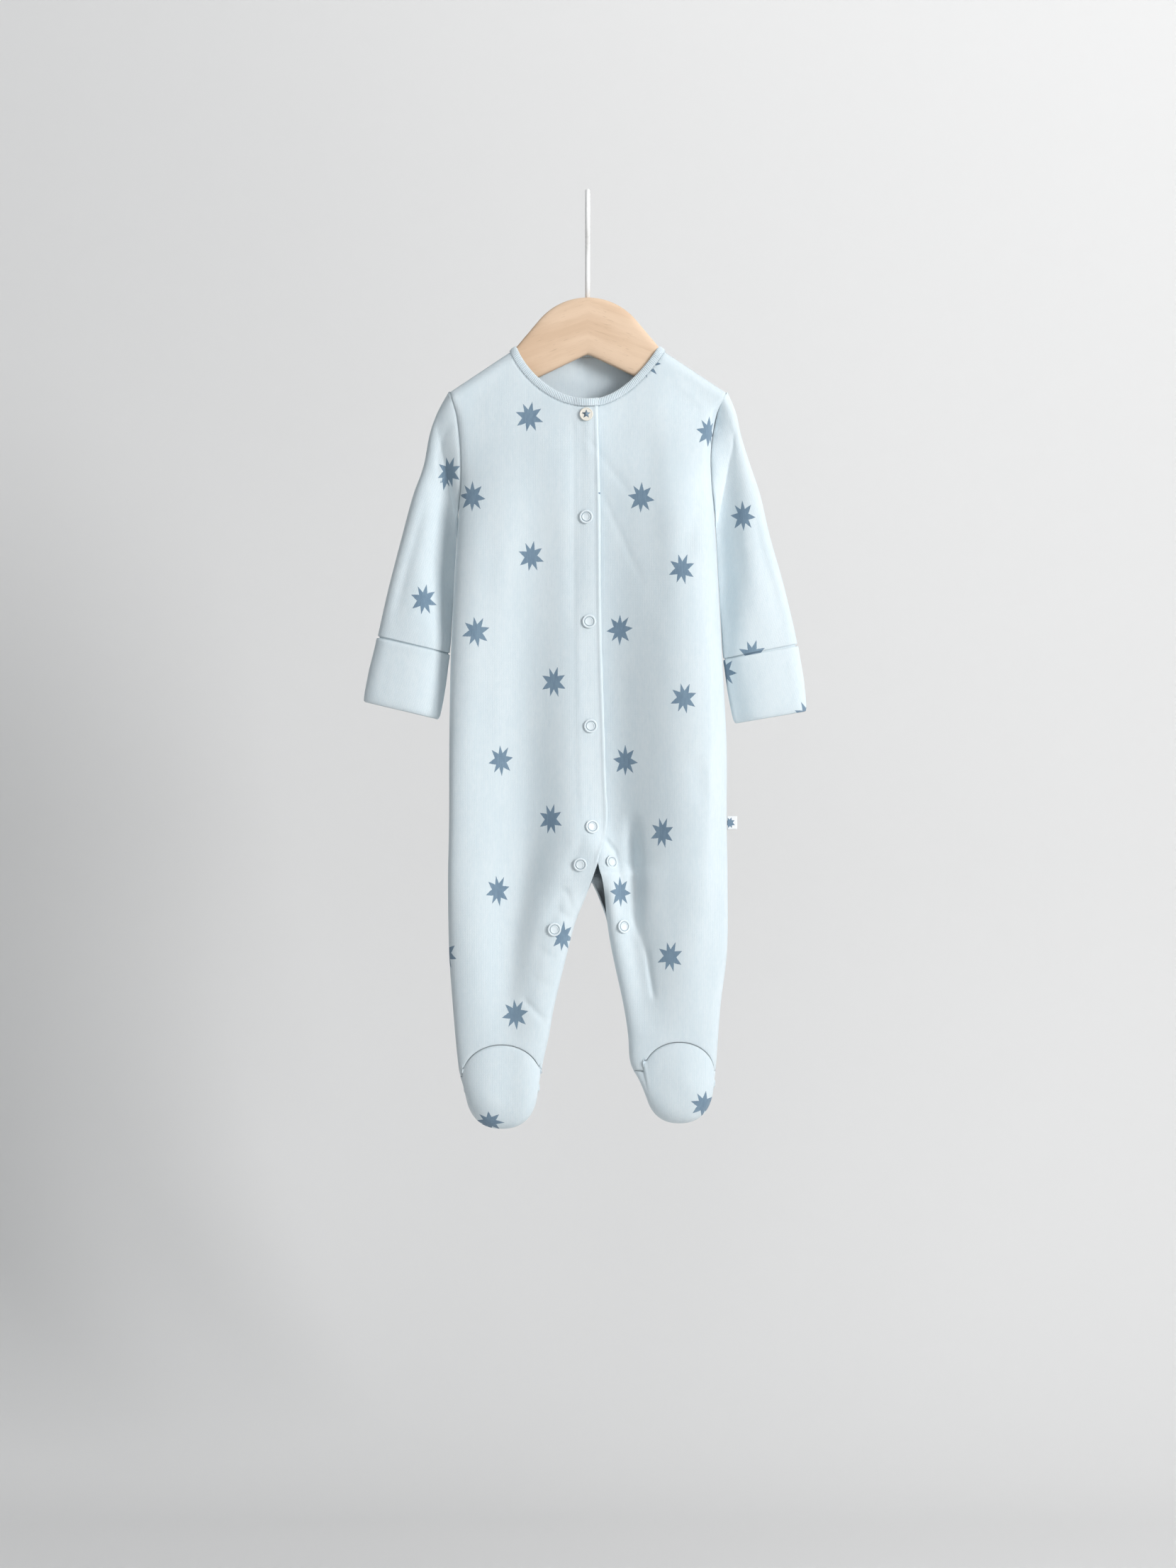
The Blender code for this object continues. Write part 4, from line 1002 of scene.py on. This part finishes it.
def sleevePoint(side, angle, place):
    # angle 0 at the outer fold, a quarter at the front, a half inside
    form, own = sleeveForm, sleeves[side]
    outer, outerDrop, inner, innerDrop, depth = sleeveRow(side, place)
    start = Vector((sideWay[side] * outer, 0, -outerDrop))
    end = Vector((sideWay[side] * inner, 0, -innerDrop))
    point = start.lerp(end, (1 - math.cos(angle)) / 2)
    degrees = math.degrees(angle) % 360
    # in front, the sleeve sinks back where it lies against the body
    fromInner = (1 + math.cos(angle)) / 2 * (outer - inner)
    low = ease((place - form["lowFrom"]) / form["lowOver"])
    valley = own["valley"] * (1 - form["valleyLess"] * low)
    valley *= bump(fromInner, own["valleyWide"] * (1 - form["narrower"] * low))
    valley *= ease(place / form["valleyOver"]) if degrees < 180 else 0
    around = form["waveAround"]
    spot = Vector((math.cos(angle) * around, math.sin(angle) * around, place * form["waveDown"]))
    dip = sleeveFoldDepth(side, degrees, place)
    dip -= form["wave"] * noise.noise(spot) * ease(place / form["waveOver"])
    point.y = -(depth - dip) * (1 - valley) * signedPower(math.sin(angle), form["flatness"])
    point.y += own["setBack"] * ease(place / form["setBackOver"]) * (1 - form["setBackLess"] * low)
    if place >= form["join"]:
        return point
    edge = suitPoint(*armholeSpot(side, angle))
    # the body's edge laps over the sleeve's, but for the armhole's two ends
    lap = math.sqrt(abs(math.sin(angle)))
    apart = cloth["gap"] * (1 + form["joinSlack"] * (1 - math.cos(angle)) / 2)
    edge.x += sideWay[side] * (apart * (1 - lap) - cloth["lap"][0] * lap)
    edge.y += math.copysign(cloth["lap"][1], math.sin(angle)) * lap
    return edge.lerp(point, ease(place / form["join"]))


def armholeSpot(side, angle):
    face = "front" if math.sin(angle) >= 0 else "back"
    tip = tipDrop(side)
    drop = tip + (cloth["underarm"] - tip) * (1 - math.cos(angle)) / 2
    return face, side, firstTurn(side, drop), drop


def sleeveNormal(side, angle, place):
    around = sleevePoint(side, angle + 0.01, place) - sleevePoint(side, angle - 0.01, place)
    down = sleevePoint(side, angle, place + 0.02) - sleevePoint(side, angle, max(place - 0.02, 0))
    return (around.cross(down) * sideWay[side]).normalized()


def laySleevePrint(mesh, side, name, behind, sideDepth):
    # the sleeve's middle line stands in for the body's, and the print is tilted with it
    line = sleeveForm["middle"]

    def middle(x, drop):
        return sideWay[side] * (line["x"] + (drop - line["drop"]) * line["slope"])

    behind = [(sideWay[side] * x, drop, turn, starWide) for x, drop, turn in behind]
    layPrint(mesh, stars[name], behind, sleeveForm["tilt"][side], sideDepth, middle)


def makeSleeves():
    around = sleeveForm["around"]
    for side in sideWay:
        def place(column, row, half, side=side):
            angle, down = angleOf(column, around), sleevePlaces[row]
            sunk = cuffLine["depth"] * ease((down - cuffLine["place"]) / cuffLine["width"])
            point = sleevePoint(side, angle, down)
            return point - sleeveNormal(side, angle, down) * sunk if sunk else point

        mesh = newGrid(around, len(sleevePlaces) - 1, place, closed=True)
        tuckSeams(mesh, lambda column, row: row)
        name = "sleeve" + side.title()
        laySleevePrint(mesh, side, name, [(103, 205, 14), (121, 258, 37), (118, 322, 4)], 0)
        finishCloth(name, mesh, "sleeve_" + side)


# a cuff's cut: how far along the sleeve, and how far out of its surface
cuffCut = [(7.02, 0.3), (7.0, 0.5), (6.99, 1.0), (7.0, 1.5), (7.04, 1.75), (7.12, 1.62), (7.3, 1.85),
           (7.5, 2.1), (7.7, 1.95), (7.85, 1.7), (7.94, 1.35), (7.985, 0.7), (8.0, -0.2), (7.995, -1.1),
           (7.98, -2.0), (7.94, -2.6), (7.88, -2.8), (7.8, -2.7), (7.79, -2.1), (7.8, -1.6), (7.88, -1.55),
           (7.93, -1.2), (7.94, -0.6), (7.93, 0.0), (7.8, 0.3), (7.5, 0.3), (7.25, 0.3)]


def makeCuffs():
    around = sleeveForm["around"]
    first, last = cuffLine["onSleeve"]  # where the sleeve's own direction still holds
    for side in sideWay:
        def place(column, row, half, side=side):
            angle = angleOf(column, around)
            down, out = cuffCut[row % len(cuffCut)]
            spot = Vector((math.cos(angle) * 3, math.sin(angle) * 3, down * 2))
            soft = cuffLine["soft"] * noise.noise(spot)
            normal = sleeveNormal(side, angle, min(max(down, first), last))
            return sleevePoint(side, angle, down) + normal * (out + soft - cuffLine["seat"])

        mesh = newGrid(around, len(cuffCut), place, closed=True, ring=True)
        name = "cuff" + side.title()
        laySleevePrint(mesh, side, name, [(128, 352, 10)], 3)
        finishPiece(name, mesh, ["jersey"], ["cuff_" + side])


makeSleeves()
makeCuffs()
print("sleeves and cuffs made")


neckBand = {
    "start": {"left": -0.11, "right": -0.09}, "steps": 90, "perRib": 6, "ribHeight": 0.22, "endFade": 3,
    "overlap": 1.0, "overlapFrom": 13, "overlapOver": 7, "plain": 5.5, "rowTall": 0.7,
    # how far down the band, how far out of the body's surface, and how much the ribs show there
    "cut": [(1.05, -0.5, 0), (1.04, 0.0, 0), (0.99, 0.3, 0.2), (0.9, 0.36, 0.7), (0.8, 0.5, 1),
            (0.62, 0.66, 1), (0.42, 0.72, 1), (0.24, 0.62, 1), (0.1, 0.4, 1), (0.02, 0.0, 1),
            (0.0, -0.4, 0.6), (0.04, -0.8, 0.4), (0.13, -1.0, 0), (0.45, -1.05, 0), (0.87, -1.0, 0)],
    "stitch": (1.0, 0.2, 0.16), "stitchPitch": 2.6, "stitchDown": 1.1, "stitchOut": 0.2,
}


def neckRun(ring):
    # from the left front's placket, round the back, to the right front's
    steps = neckBand["steps"]
    stations = [("front", "left", s / steps) for s in range(steps)]
    stations += [("back", "left", 1 - s / steps) for s in range(steps)]
    stations += [("back", "right", s / steps) for s in range(steps)]
    stations += [("front", "right", 1 - s / steps) for s in range(steps + 1)]
    run = []
    for face, side, part in stations:
        if face == "front":
            start = neckBand["start"][side]
            part = start + (1 - start) * part
        run.append((face, side, *neckRing(face, side, part, ring)))
    return run


def measured(points):
    lengths = [0.0]
    for before, after in zip(points, points[1:]):
        lengths.append(lengths[-1] + (after - before).length)
    return lengths


def between(lengths, want):
    i = min(max(bisect_right(lengths, want), 1), len(lengths) - 1) - 1
    return i, (want - lengths[i]) / (lengths[i + 1] - lengths[i])


def bandRows(marks):
    # for each station round the neck, a point at each (down, out) mark and the cloth's normal
    rows = []
    for near, far in zip(neckRun(0), neckRun(1)):
        face, side, x, drop = near
        farX, farDrop = far[2:]
        acrossX, acrossDrop = farX - x, farDrop - drop
        row = [suitAt(face, side, x + acrossX * down, drop + acrossDrop * down, out) for down, out in marks]
        middleX, middleDrop = (x + farX) / 2, (drop + farDrop) / 2
        row.append(suitNormal(face, side, turnAt(face, side, middleX, middleDrop), middleDrop))
        rows.append(row)
    return rows


def makeNeckBand():
    cut = neckBand["cut"]
    rows = bandRows([mark[:2] for mark in cut])
    lengths = measured([row[4] for row in rows])
    total = lengths[-1]
    columns = round(total / ribPitch * neckBand["perRib"])

    def place(column, row, half):
        want = total * column / columns
        i, part = between(lengths, want)
        row = row % len(cut)
        ends = ease(min(want, total - want) / neckBand["endFade"])
        push = neckBand["ribHeight"] * math.cos(2 * math.pi * want / ribPitch) * cut[row][2] * ends
        # the right front's end lies on top
        fromTop = total - want - neckBand["overlapFrom"]
        push += neckBand["overlap"] * (1 - ease(fromTop / neckBand["overlapOver"]))
        normal = rows[i][-1].lerp(rows[i + 1][-1], part).normalized()
        return rows[i][row].lerp(rows[i + 1][row], part) + normal * push

    mesh = newGrid(columns, len(cut), place, ring=True)
    columnOf, rowOf = gridLayers(mesh)
    for face in mesh.faces:
        # its last stretch is covered by the placket's plain cloth
        if min(v[columnOf] for v in face.verts) / columns * total > total - neckBand["plain"]:
            face.material_index = 1
    closeEnds(mesh)
    layPrint(mesh, [], [])
    runs = mesh.loops.layers.uv["cut"]
    for face in mesh.faces:
        for loop in face.loops:
            run, tall = loop.vert[columnOf] / columns * total, loop.vert[rowOf] * neckBand["rowTall"]
            loop[runs].uv = (run * mm, tall * mm)
    finishPiece("neckBand", mesh, ["rib", "jersey"], ["neck_binding"])


def makeNeckStitches():
    # short stitches in the cloth, just below the band, and none where its ends lap
    rows = bandRows([(neckBand["stitchDown"], neckBand["stitchOut"])])
    lengths = measured([row[0] for row in rows])
    count = int(lengths[-1] / neckBand["stitchPitch"])
    size = Matrix.Diagonal([value * mm for value in neckBand["stitch"]]).to_4x4()
    mesh = bmesh.new()
    for k in range(4, count - 3):
        i, part = between(lengths, lengths[-1] * (k + 0.5) / count)
        point, normal = (rows[i][n].lerp(rows[i + 1][n], part) for n in (0, 1))
        way = (rows[i + 1][0] - rows[i][0]).normalized()
        turn = Matrix((way, normal.cross(way), normal)).transposed().to_4x4()
        turn.translation = point * mm
        bmesh.ops.create_icosphere(mesh, subdivisions=2, radius=1, matrix=turn @ size)
    bmesh.ops.recalc_face_normals(mesh, faces=mesh.faces)
    finishPiece("neckStitches", mesh, ["thread"], [])


makeNeckBand()
makeNeckStitches()
print("neck band made")


def rim(side, u):
    # the sole's oval edge, from the inner side of the foot round the toe to the outer side
    foot, power = feet[side], feet["rimPower"]
    angle = math.pi * (u - 0.5)
    x = foot["half"] * signedPower(math.sin(angle), power)
    drop = foot["top"] + (foot["bottom"] - foot["top"]) * abs(math.cos(angle)) ** power
    return Vector((foot["x"] + sideWay[side] * x, feet["rimY"] * math.cos(angle), -drop))


@lru_cache(maxsize=None)
def legHem(face, side, u):
    return suitPoint(face, side, *panelTurnDrop(face, side, u, lastRow))


def footPoint(face, side, u, v):
    # v 0 at the leg's seam, 1 at the rim
    start, end = legHem(face, side, u), rim(side, u)
    point = start.lerp(end, math.sin(math.pi / 2 * v) if face == "front" else v)
    fall = 1 - math.cos(math.pi / 2 * v) if face == "front" else v * v
    point.y = start.y + (end.y - start.y) * fall
    swell = math.sin(math.pi * v) * math.sin(math.pi * u)
    deep, scale, seed = feet["waves"]
    soft = deep * noise.noise(Vector((point.x * scale, point.z * scale, faceWay[face] * seed)))
    point.y += faceWay[face] * (feet["bulge"][face] + soft) * swell
    # it stays on its own side of the rim's seam
    limit = feet["rimY"] * math.cos(math.pi * (u - 0.5)) + faceWay[face] * cloth["gap"] / 2
    if (point.y - limit) * faceWay[face] < 0:
        point.y = limit
    return point


def makeFeet():
    columns = feet["columns"]
    for name, node, face in (("toe", "toe_cap_", "front"), ("sole", "sole_", "back")):
        rows = feet["rows"][face]
        for side in sideWay:
            def place(column, row, half, face=face, side=side, rows=rows):
                return footPoint(face, side, column / columns, row / rows)

            mesh = newGrid(columns, rows, place)
            tuckSeams(mesh, lambda column, row: min(row, rows - row), cloth["hemShare"])
            middle = feet[side]["x"]
            front = stars.get(name + side.title(), [])
            back = [] if front else [(middle - 8, 640, 12, starWide), (middle + 20, 612, 37, starWide)]
            layPrint(mesh, front, back, 0, 0, lambda x, drop: middle)
            finishCloth(name + side.title(), mesh, node + side)


makeFeet()
print("feet made")


def newTurned(profile, sides):
    # a solid turned round Z from (radius, height) points
    mesh = bmesh.new()
    verts = [mesh.verts.new((radius * mm, 0, height * mm)) for radius, height in profile]
    edges = [mesh.edges.new(pair) for pair in zip(verts, verts[1:])]
    bmesh.ops.spin(mesh, geom=verts + edges, axis=(0, 0, 1), cent=(0, 0, 0), angle=2 * math.pi, steps=sides,
                   use_merge=True)
    bmesh.ops.remove_doubles(mesh, verts=mesh.verts, dist=1e-6)
    bmesh.ops.recalc_face_normals(mesh, faces=mesh.faces)
    return mesh


def seatOnFront(mesh, side, x, drop):
    normal = suitNormal("front", side, turnAt("front", side, x, drop), drop)
    matrix = normal.to_track_quat("Z", "Y").to_matrix().to_4x4()
    matrix.translation = suitAt("front", side, x, drop, poppers["seat"]) * mm
    bmesh.ops.transform(mesh, matrix=matrix, verts=mesh.verts)


def roundCorners(corners, radius, steps=3):
    # eases each inner corner of an open profile
    made = [corners[0]]
    for before, here, after in zip(corners, corners[1:], corners[2:]):
        here, ends = Vector(here), []
        for other in (before, after):
            way = Vector(other) - here
            ends.append(here + way.normalized() * min(radius, way.length * 0.45))
        for step in range(steps + 1):
            t = step / steps
            made.append(tuple(ends[0] * (1 - t) ** 2 + here * (2 * t * (1 - t)) + ends[1] * t ** 2))
    return made + [corners[-1]]


poppers = {  # the profiles run from the middle of the underside, round, to the middle of the top
    "ring": [(0, 0.1), (4.7, 0.1), (5.0, 0.35), (4.95, 0.8), (4.5, 1.2), (4.0, 1.2), (3.55, 0.8), (3.5, 0.5),
             (3.1, 0.5), (3.0, 0.8), (2.75, 1.0), (2.45, 0.95), (2.3, 0.62), (1.2, 0.55), (0, 0.55)],
    "ringRound": 0.16, "ringSides": 48, "ringRim": (4.9, 0.6), "groove": (3.05, 3.6), "grooveTop": 0.72,
    "button": [(0, 0.1), (4.7, 0.1), (5.0, 0.35), (5.0, 0.85), (4.75, 1.25), (4.35, 1.4), (4.05, 1.28),
               (3.9, 1.2), (2.0, 1.28), (0, 1.3)],
    "buttonRound": 0.2, "buttonSides": 64, "buttonRim": (4.8, 0.95), "buttonSpot": (-0.8, 161.4, "right"),
    "seat": 0.4, "starTips": 5, "starRadius": 3.35, "starNotch": 1.5, "starFoot": 1.28, "starRaised": 0.1,
}


def placeIn(face):
    # how far from the middle a face lies, and how high
    middle = face.calc_center_median() / mm
    return math.hypot(middle.x, middle.y), middle.z


def makePoppers():
    low, high = poppers["groove"]
    rimAway, rimTop = poppers["ringRim"]
    for number, (x, drop, side) in enumerate(popperSpots, start=1):
        mesh = newTurned(roundCorners(poppers["ring"], poppers["ringRound"]), poppers["ringSides"])
        for face in mesh.faces:
            away, height = placeIn(face)
            # the groove's floor and the rim's foot get the dark finish: painted shade in the groove and a
            # painted shadow line round the ring
            inGroove = low < away < high and height < poppers["grooveTop"] and face.normal.z > 0.2
            onRim = away > rimAway and height < rimTop
            face.material_index = 1 if inGroove or onRim else 0
        seatOnFront(mesh, side, x, drop)
        finishPiece(f"popper{number}", mesh, ["popper", "popperShade"], [f"popper_{number}"])


def makeButton():
    x, drop, side = poppers["buttonSpot"]
    rimAway, rimTop = poppers["buttonRim"]
    mesh = newTurned(roundCorners(poppers["button"], poppers["buttonRound"]), poppers["buttonSides"])
    for face in mesh.faces:
        away, height = placeIn(face)
        # the rim's foot gets the dark finish, a painted shadow line round the cap
        face.material_index = 1 if away > rimAway and height < rimTop else 0
    star = bmesh.new()
    tips = poppers["starTips"]
    edge = bmesh.ops.create_circle(star, cap_ends=True, radius=1, segments=2 * tips)["verts"]
    for k, vert in enumerate(edge):
        size = poppers["starRadius"] if k % 2 == 0 else poppers["starNotch"]
        turn = math.pi / tips * k
        vert.co = Vector((math.sin(turn) * size, math.cos(turn) * size, poppers["starFoot"])) * mm
    raised = bmesh.ops.extrude_face_region(star, geom=star.faces[:])["geom"]
    top = [v for v in raised if isinstance(v, bmesh.types.BMVert)]
    bmesh.ops.translate(star, vec=(0, 0, poppers["starRaised"] * mm), verts=top)
    bmesh.ops.recalc_face_normals(star, faces=star.faces)
    for piece in (mesh, star):
        seatOnFront(piece, side, x, drop)
    finishPiece("neckButton", mesh, ["button", "popperShade"], ["neck_button"])
    finishPiece("buttonStar", star, ["slate"], [])


makePoppers()
makeButton()
print("poppers made")


tab = {
    "drop": 457.0, "height": 9.7, "length": 7.2, "flat": 0.94, "thickness": 1.0, "ply": 0.4,
    "plyColumns": 8, "bendColumns": 10, "rows": 12, "wave": (0.12, 0.9, 0.6),
    "star": 4.0, "starX": 1.9, "starTurn": 20,
}


def makeTab():
    # a ribbon folded in half, its loop outwards
    ends = (tab["drop"] - tab["height"] / 2, tab["drop"] + tab["height"] / 2)
    startX = max(along("body", "left", drop) for drop in ends) + cloth["gap"]
    half, bend, straight = tab["thickness"] / 2, tab["bendColumns"], tab["plyColumns"]
    wave, waveDown, waveAcross = tab["wave"]

    def place(column, row, _):
        if column <= straight:
            x, y = tab["length"] * column / straight * tab["flat"], -half
        elif column >= straight + bend:
            x, y = tab["length"] * tab["flat"] * (1 - (column - straight - bend) / straight), half
        else:
            angle = math.pi * (column - straight) / bend
            x, y = tab["length"] * tab["flat"] + half * math.sin(angle), -half * math.cos(angle)
        y += wave * math.sin(row * waveDown + x * waveAcross)
        return Vector((startX + x, y, -tab["drop"] + tab["height"] * (0.5 - row / tab["rows"])))

    mesh = newGrid(2 * straight + bend, tab["rows"], place)
    star = [(startX + tab["starX"], tab["drop"], tab["starTurn"], tab["star"], tab["star"])]
    layPrint(mesh, star, star, 0, 0)
    finishPiece("sideTab", mesh, ["tab"], ["side_tab"], tab["ply"])


makeTab()
print("label made")


hanger = {
    "crownDrop": 75.5, "crownRadius": 46.0, "crownAngle": math.radians(50), "clear": 2.9,
    "notchDrop": 116.5, "notchSlope": 0.48, "notchRound": 1.2, "armTip": 93.0, "armRound": 13.0,
    "tipLow": 0.2, "tipThick": 0.04, "thick": 12.0, "faceRound": 0.34, "edgeRound": 0.55,
    "stations": 60, "around": 44,
}


def hangerTop(x):
    x = abs(x)
    radius, angle = hanger["crownRadius"], hanger["crownAngle"]
    bend = radius * math.sin(angle)
    if x < bend:
        flank = hanger["crownDrop"] + radius - math.sqrt(radius**2 - x**2)
    else:
        flank = hanger["crownDrop"] + radius * (1 - math.cos(angle)) + (x - bend) * math.tan(angle)
    return min(flank, shoulderLine(x) + hanger["clear"])


def makeHanger():
    count, around = hanger["stations"], hanger["around"]

    def place(column, row, half):
        x = hanger["armTip"] * math.sin(math.pi / 2 * (row - count) / count)
        top = hangerTop(x)
        bottom = hanger["notchDrop"] + math.hypot(x, hanger["notchRound"]) * hanger["notchSlope"]
        size = quarterRound(min((hanger["armTip"] + 0.02 - abs(x)) / hanger["armRound"], 1.0))
        angle = angleOf(column, around)
        y = hanger["thick"] / 2 * signedPower(math.sin(angle), hanger["faceRound"])
        y *= max(size, hanger["tipThick"])
        rise = signedPower(math.cos(angle), hanger["edgeRound"]) * (bottom - top) / 2 * size
        return Vector((x, y, rise - (top + bottom) / 2 + (1 - size) * (bottom - top) * hanger["tipLow"]))

    mesh = newGrid(around, 2 * count, place, closed=True)
    closeEnds(mesh)
    finishPiece("woodHanger", mesh, ["wood"], ["hanger"])


hook = {
    "wire": 3.6, "sides": 20, "endRound": (0.7, 0.6),
    "inside": 33.0, "starts": -35, "turns": 250, "turnSteps": 60,
    "stemBend": 46.0, "stemSteps": 24, "stemEase": 0.35, "straight": 60.0, "intoWood": 1.5,
}


def makeHook():
    radius = (hook["inside"] + hook["wire"]) / 2
    points = []
    for step in range(hook["turnSteps"] + 1):
        angle = math.radians(hook["starts"] + step * hook["turns"] / hook["turnSteps"])
        points.append((radius * math.cos(angle), radius * math.sin(angle) - hook["inside"] / 2))
    bendY, bendZ = points[-1]
    early = hook["stemEase"]
    for step in range(1, hook["stemSteps"] + 1):
        part = step / hook["stemSteps"]
        points.append((bendY * (1 - ease(early + part * (1 - early))) / (1 - ease(early)),
                       bendZ + (-hook["stemBend"] - bendZ) * part))
    points += [(0, -hook["straight"]), (0, -(hanger["crownDrop"] + hook["intoWood"]))]
    points = [Vector((0, *point)) for point in points]
    neighbours = zip(points[:1] + points, points[1:] + points[-1:])
    ways = [(after - before).normalized() for before, after in neighbours]
    # the wire's cut end is rounded
    endOut, endSize = hook["endRound"]
    rings = [(points[0] - ways[0] * endOut, ways[0], endSize)]
    rings += [(point, way, 1.0) for point, way in zip(points, ways)]
    side = Vector((1, 0, 0))

    def place(column, row, _):
        point, way, size = rings[row]
        turn = angleOf(column, hook["sides"])
        out = side * math.cos(turn) + side.cross(way) * math.sin(turn)
        return point + out * hook["wire"] / 2 * size

    mesh = newGrid(hook["sides"], len(rings) - 1, place, closed=True)
    closeEnds(mesh)
    finishPiece("hookWire", mesh, ["wire"], ["hook"])


makeHanger()
makeHook()
print("hanger and hook made")


studio = {
    "floorDrop": 980, "wallY": 620, "bend": 480, "bendSteps": 16, "wallStep": 260, "rows": 24,
    "half": 2600, "near": -2600, "colour": (0.765, 0.76, 0.755), "roughness": 0.9,
}


def makeStudio():
    # one sheet of paper: the floor, a quarter turn, and the wall behind
    bend, wallY = studio["bend"], studio["wallY"]
    path = [(studio["near"], 0.0)]
    for step in range(studio["bendSteps"] + 1):
        angle = math.pi / 2 * step / studio["bendSteps"]
        path.append((wallY - bend * (1 - math.sin(angle)), bend * (1 - math.cos(angle))))
    path += [(wallY, bend + studio["wallStep"] * step) for step in range(1, studio["rows"] + 2 - len(path))]
    mesh = bmesh.new()
    bmesh.ops.create_grid(mesh, x_segments=1, y_segments=studio["rows"], size=1)
    for vert in mesh.verts:
        y, z = path[round((vert.co.y + 1) / 2 * studio["rows"])]
        vert.co = Vector((vert.co.x * studio["half"], y, z - studio["floorDrop"])) * mm
    mesh.normal_update()
    if sum(face.normal.z for face in mesh.faces) < 0:
        bmesh.ops.reverse_faces(mesh, faces=mesh.faces)
    material, tree, shader = startMaterial("studioPaper", studio["roughness"], Base_Color=studio["colour"])
    # seen from behind, the paper lets the view through
    facing = tree.nodes.new("ShaderNodeNewGeometry").outputs["Backfacing"]
    clear = newNode(tree, "BsdfTransparent").outputs[0]
    mixer = newNode(tree, "MixShader", {0: facing, 1: shader.outputs[0], 2: clear})
    tree.links.new(mixer.outputs[0], tree.nodes["Material Output"].inputs["Surface"])
    addMesh("studioFloor", mesh, [material])


lights = {  # place, aim, size and power of each area light
    "keyLight": ((2180, -2120, 500), (0, 0, -360), 1200, 79),
    "fillLight": ((-2300, -1900, 0), (0, 0, -360), 2000, 8),
    "frontLight": ((-300, -2600, 600), (0, 0, -200), 1400, 7),
    "wallLight": ((300, 0, 900), (0, 620, -500), 1400, 6),
    "backLight": ((600, 2300, 700), (0, 0, -360), 1600, 36),
}
studioAir = {"colour": (0.80, 0.91, 1.0), "strength": 0.12}


def makeLights():
    for name, (place, aim, size, power) in lights.items():
        data = bpy.data.lights.new(name, "AREA")
        data.size = size * mm
        data.energy = power
        lamp = addObject(name, data)
        lamp.location = Vector(place) * mm
        lamp.rotation_euler = (Vector(aim) - Vector(place)).to_track_quat("-Z", "Y").to_euler()
    world = bpy.data.worlds.new("studioAir")
    world.use_nodes = True
    air = world.node_tree.nodes["Background"].inputs
    air["Color"].default_value = (*studioAir["colour"], 1)
    air["Strength"].default_value = studioAir["strength"]
    bpy.context.scene.world = world
    bpy.context.scene.view_settings.view_transform = "Standard"


view = {"distance": 4500, "x": 0.3, "drop": 428.8, "frameTall": 1139.0, "sensor": 36.0}


def makeCamera():
    data = bpy.data.cameras.new("camera")
    data.sensor_width = view["sensor"]
    data.lens = view["sensor"] * view["distance"] / view["frameTall"]
    camera = addObject("camera", data)
    camera.location = Vector((view["x"], -view["distance"], -view["drop"])) * mm
    camera.rotation_euler = (math.radians(90), 0, 0)
    bpy.context.scene.camera = camera


makeStudio()
makeLights()
makeCamera()
bpy.context.view_layer.update()
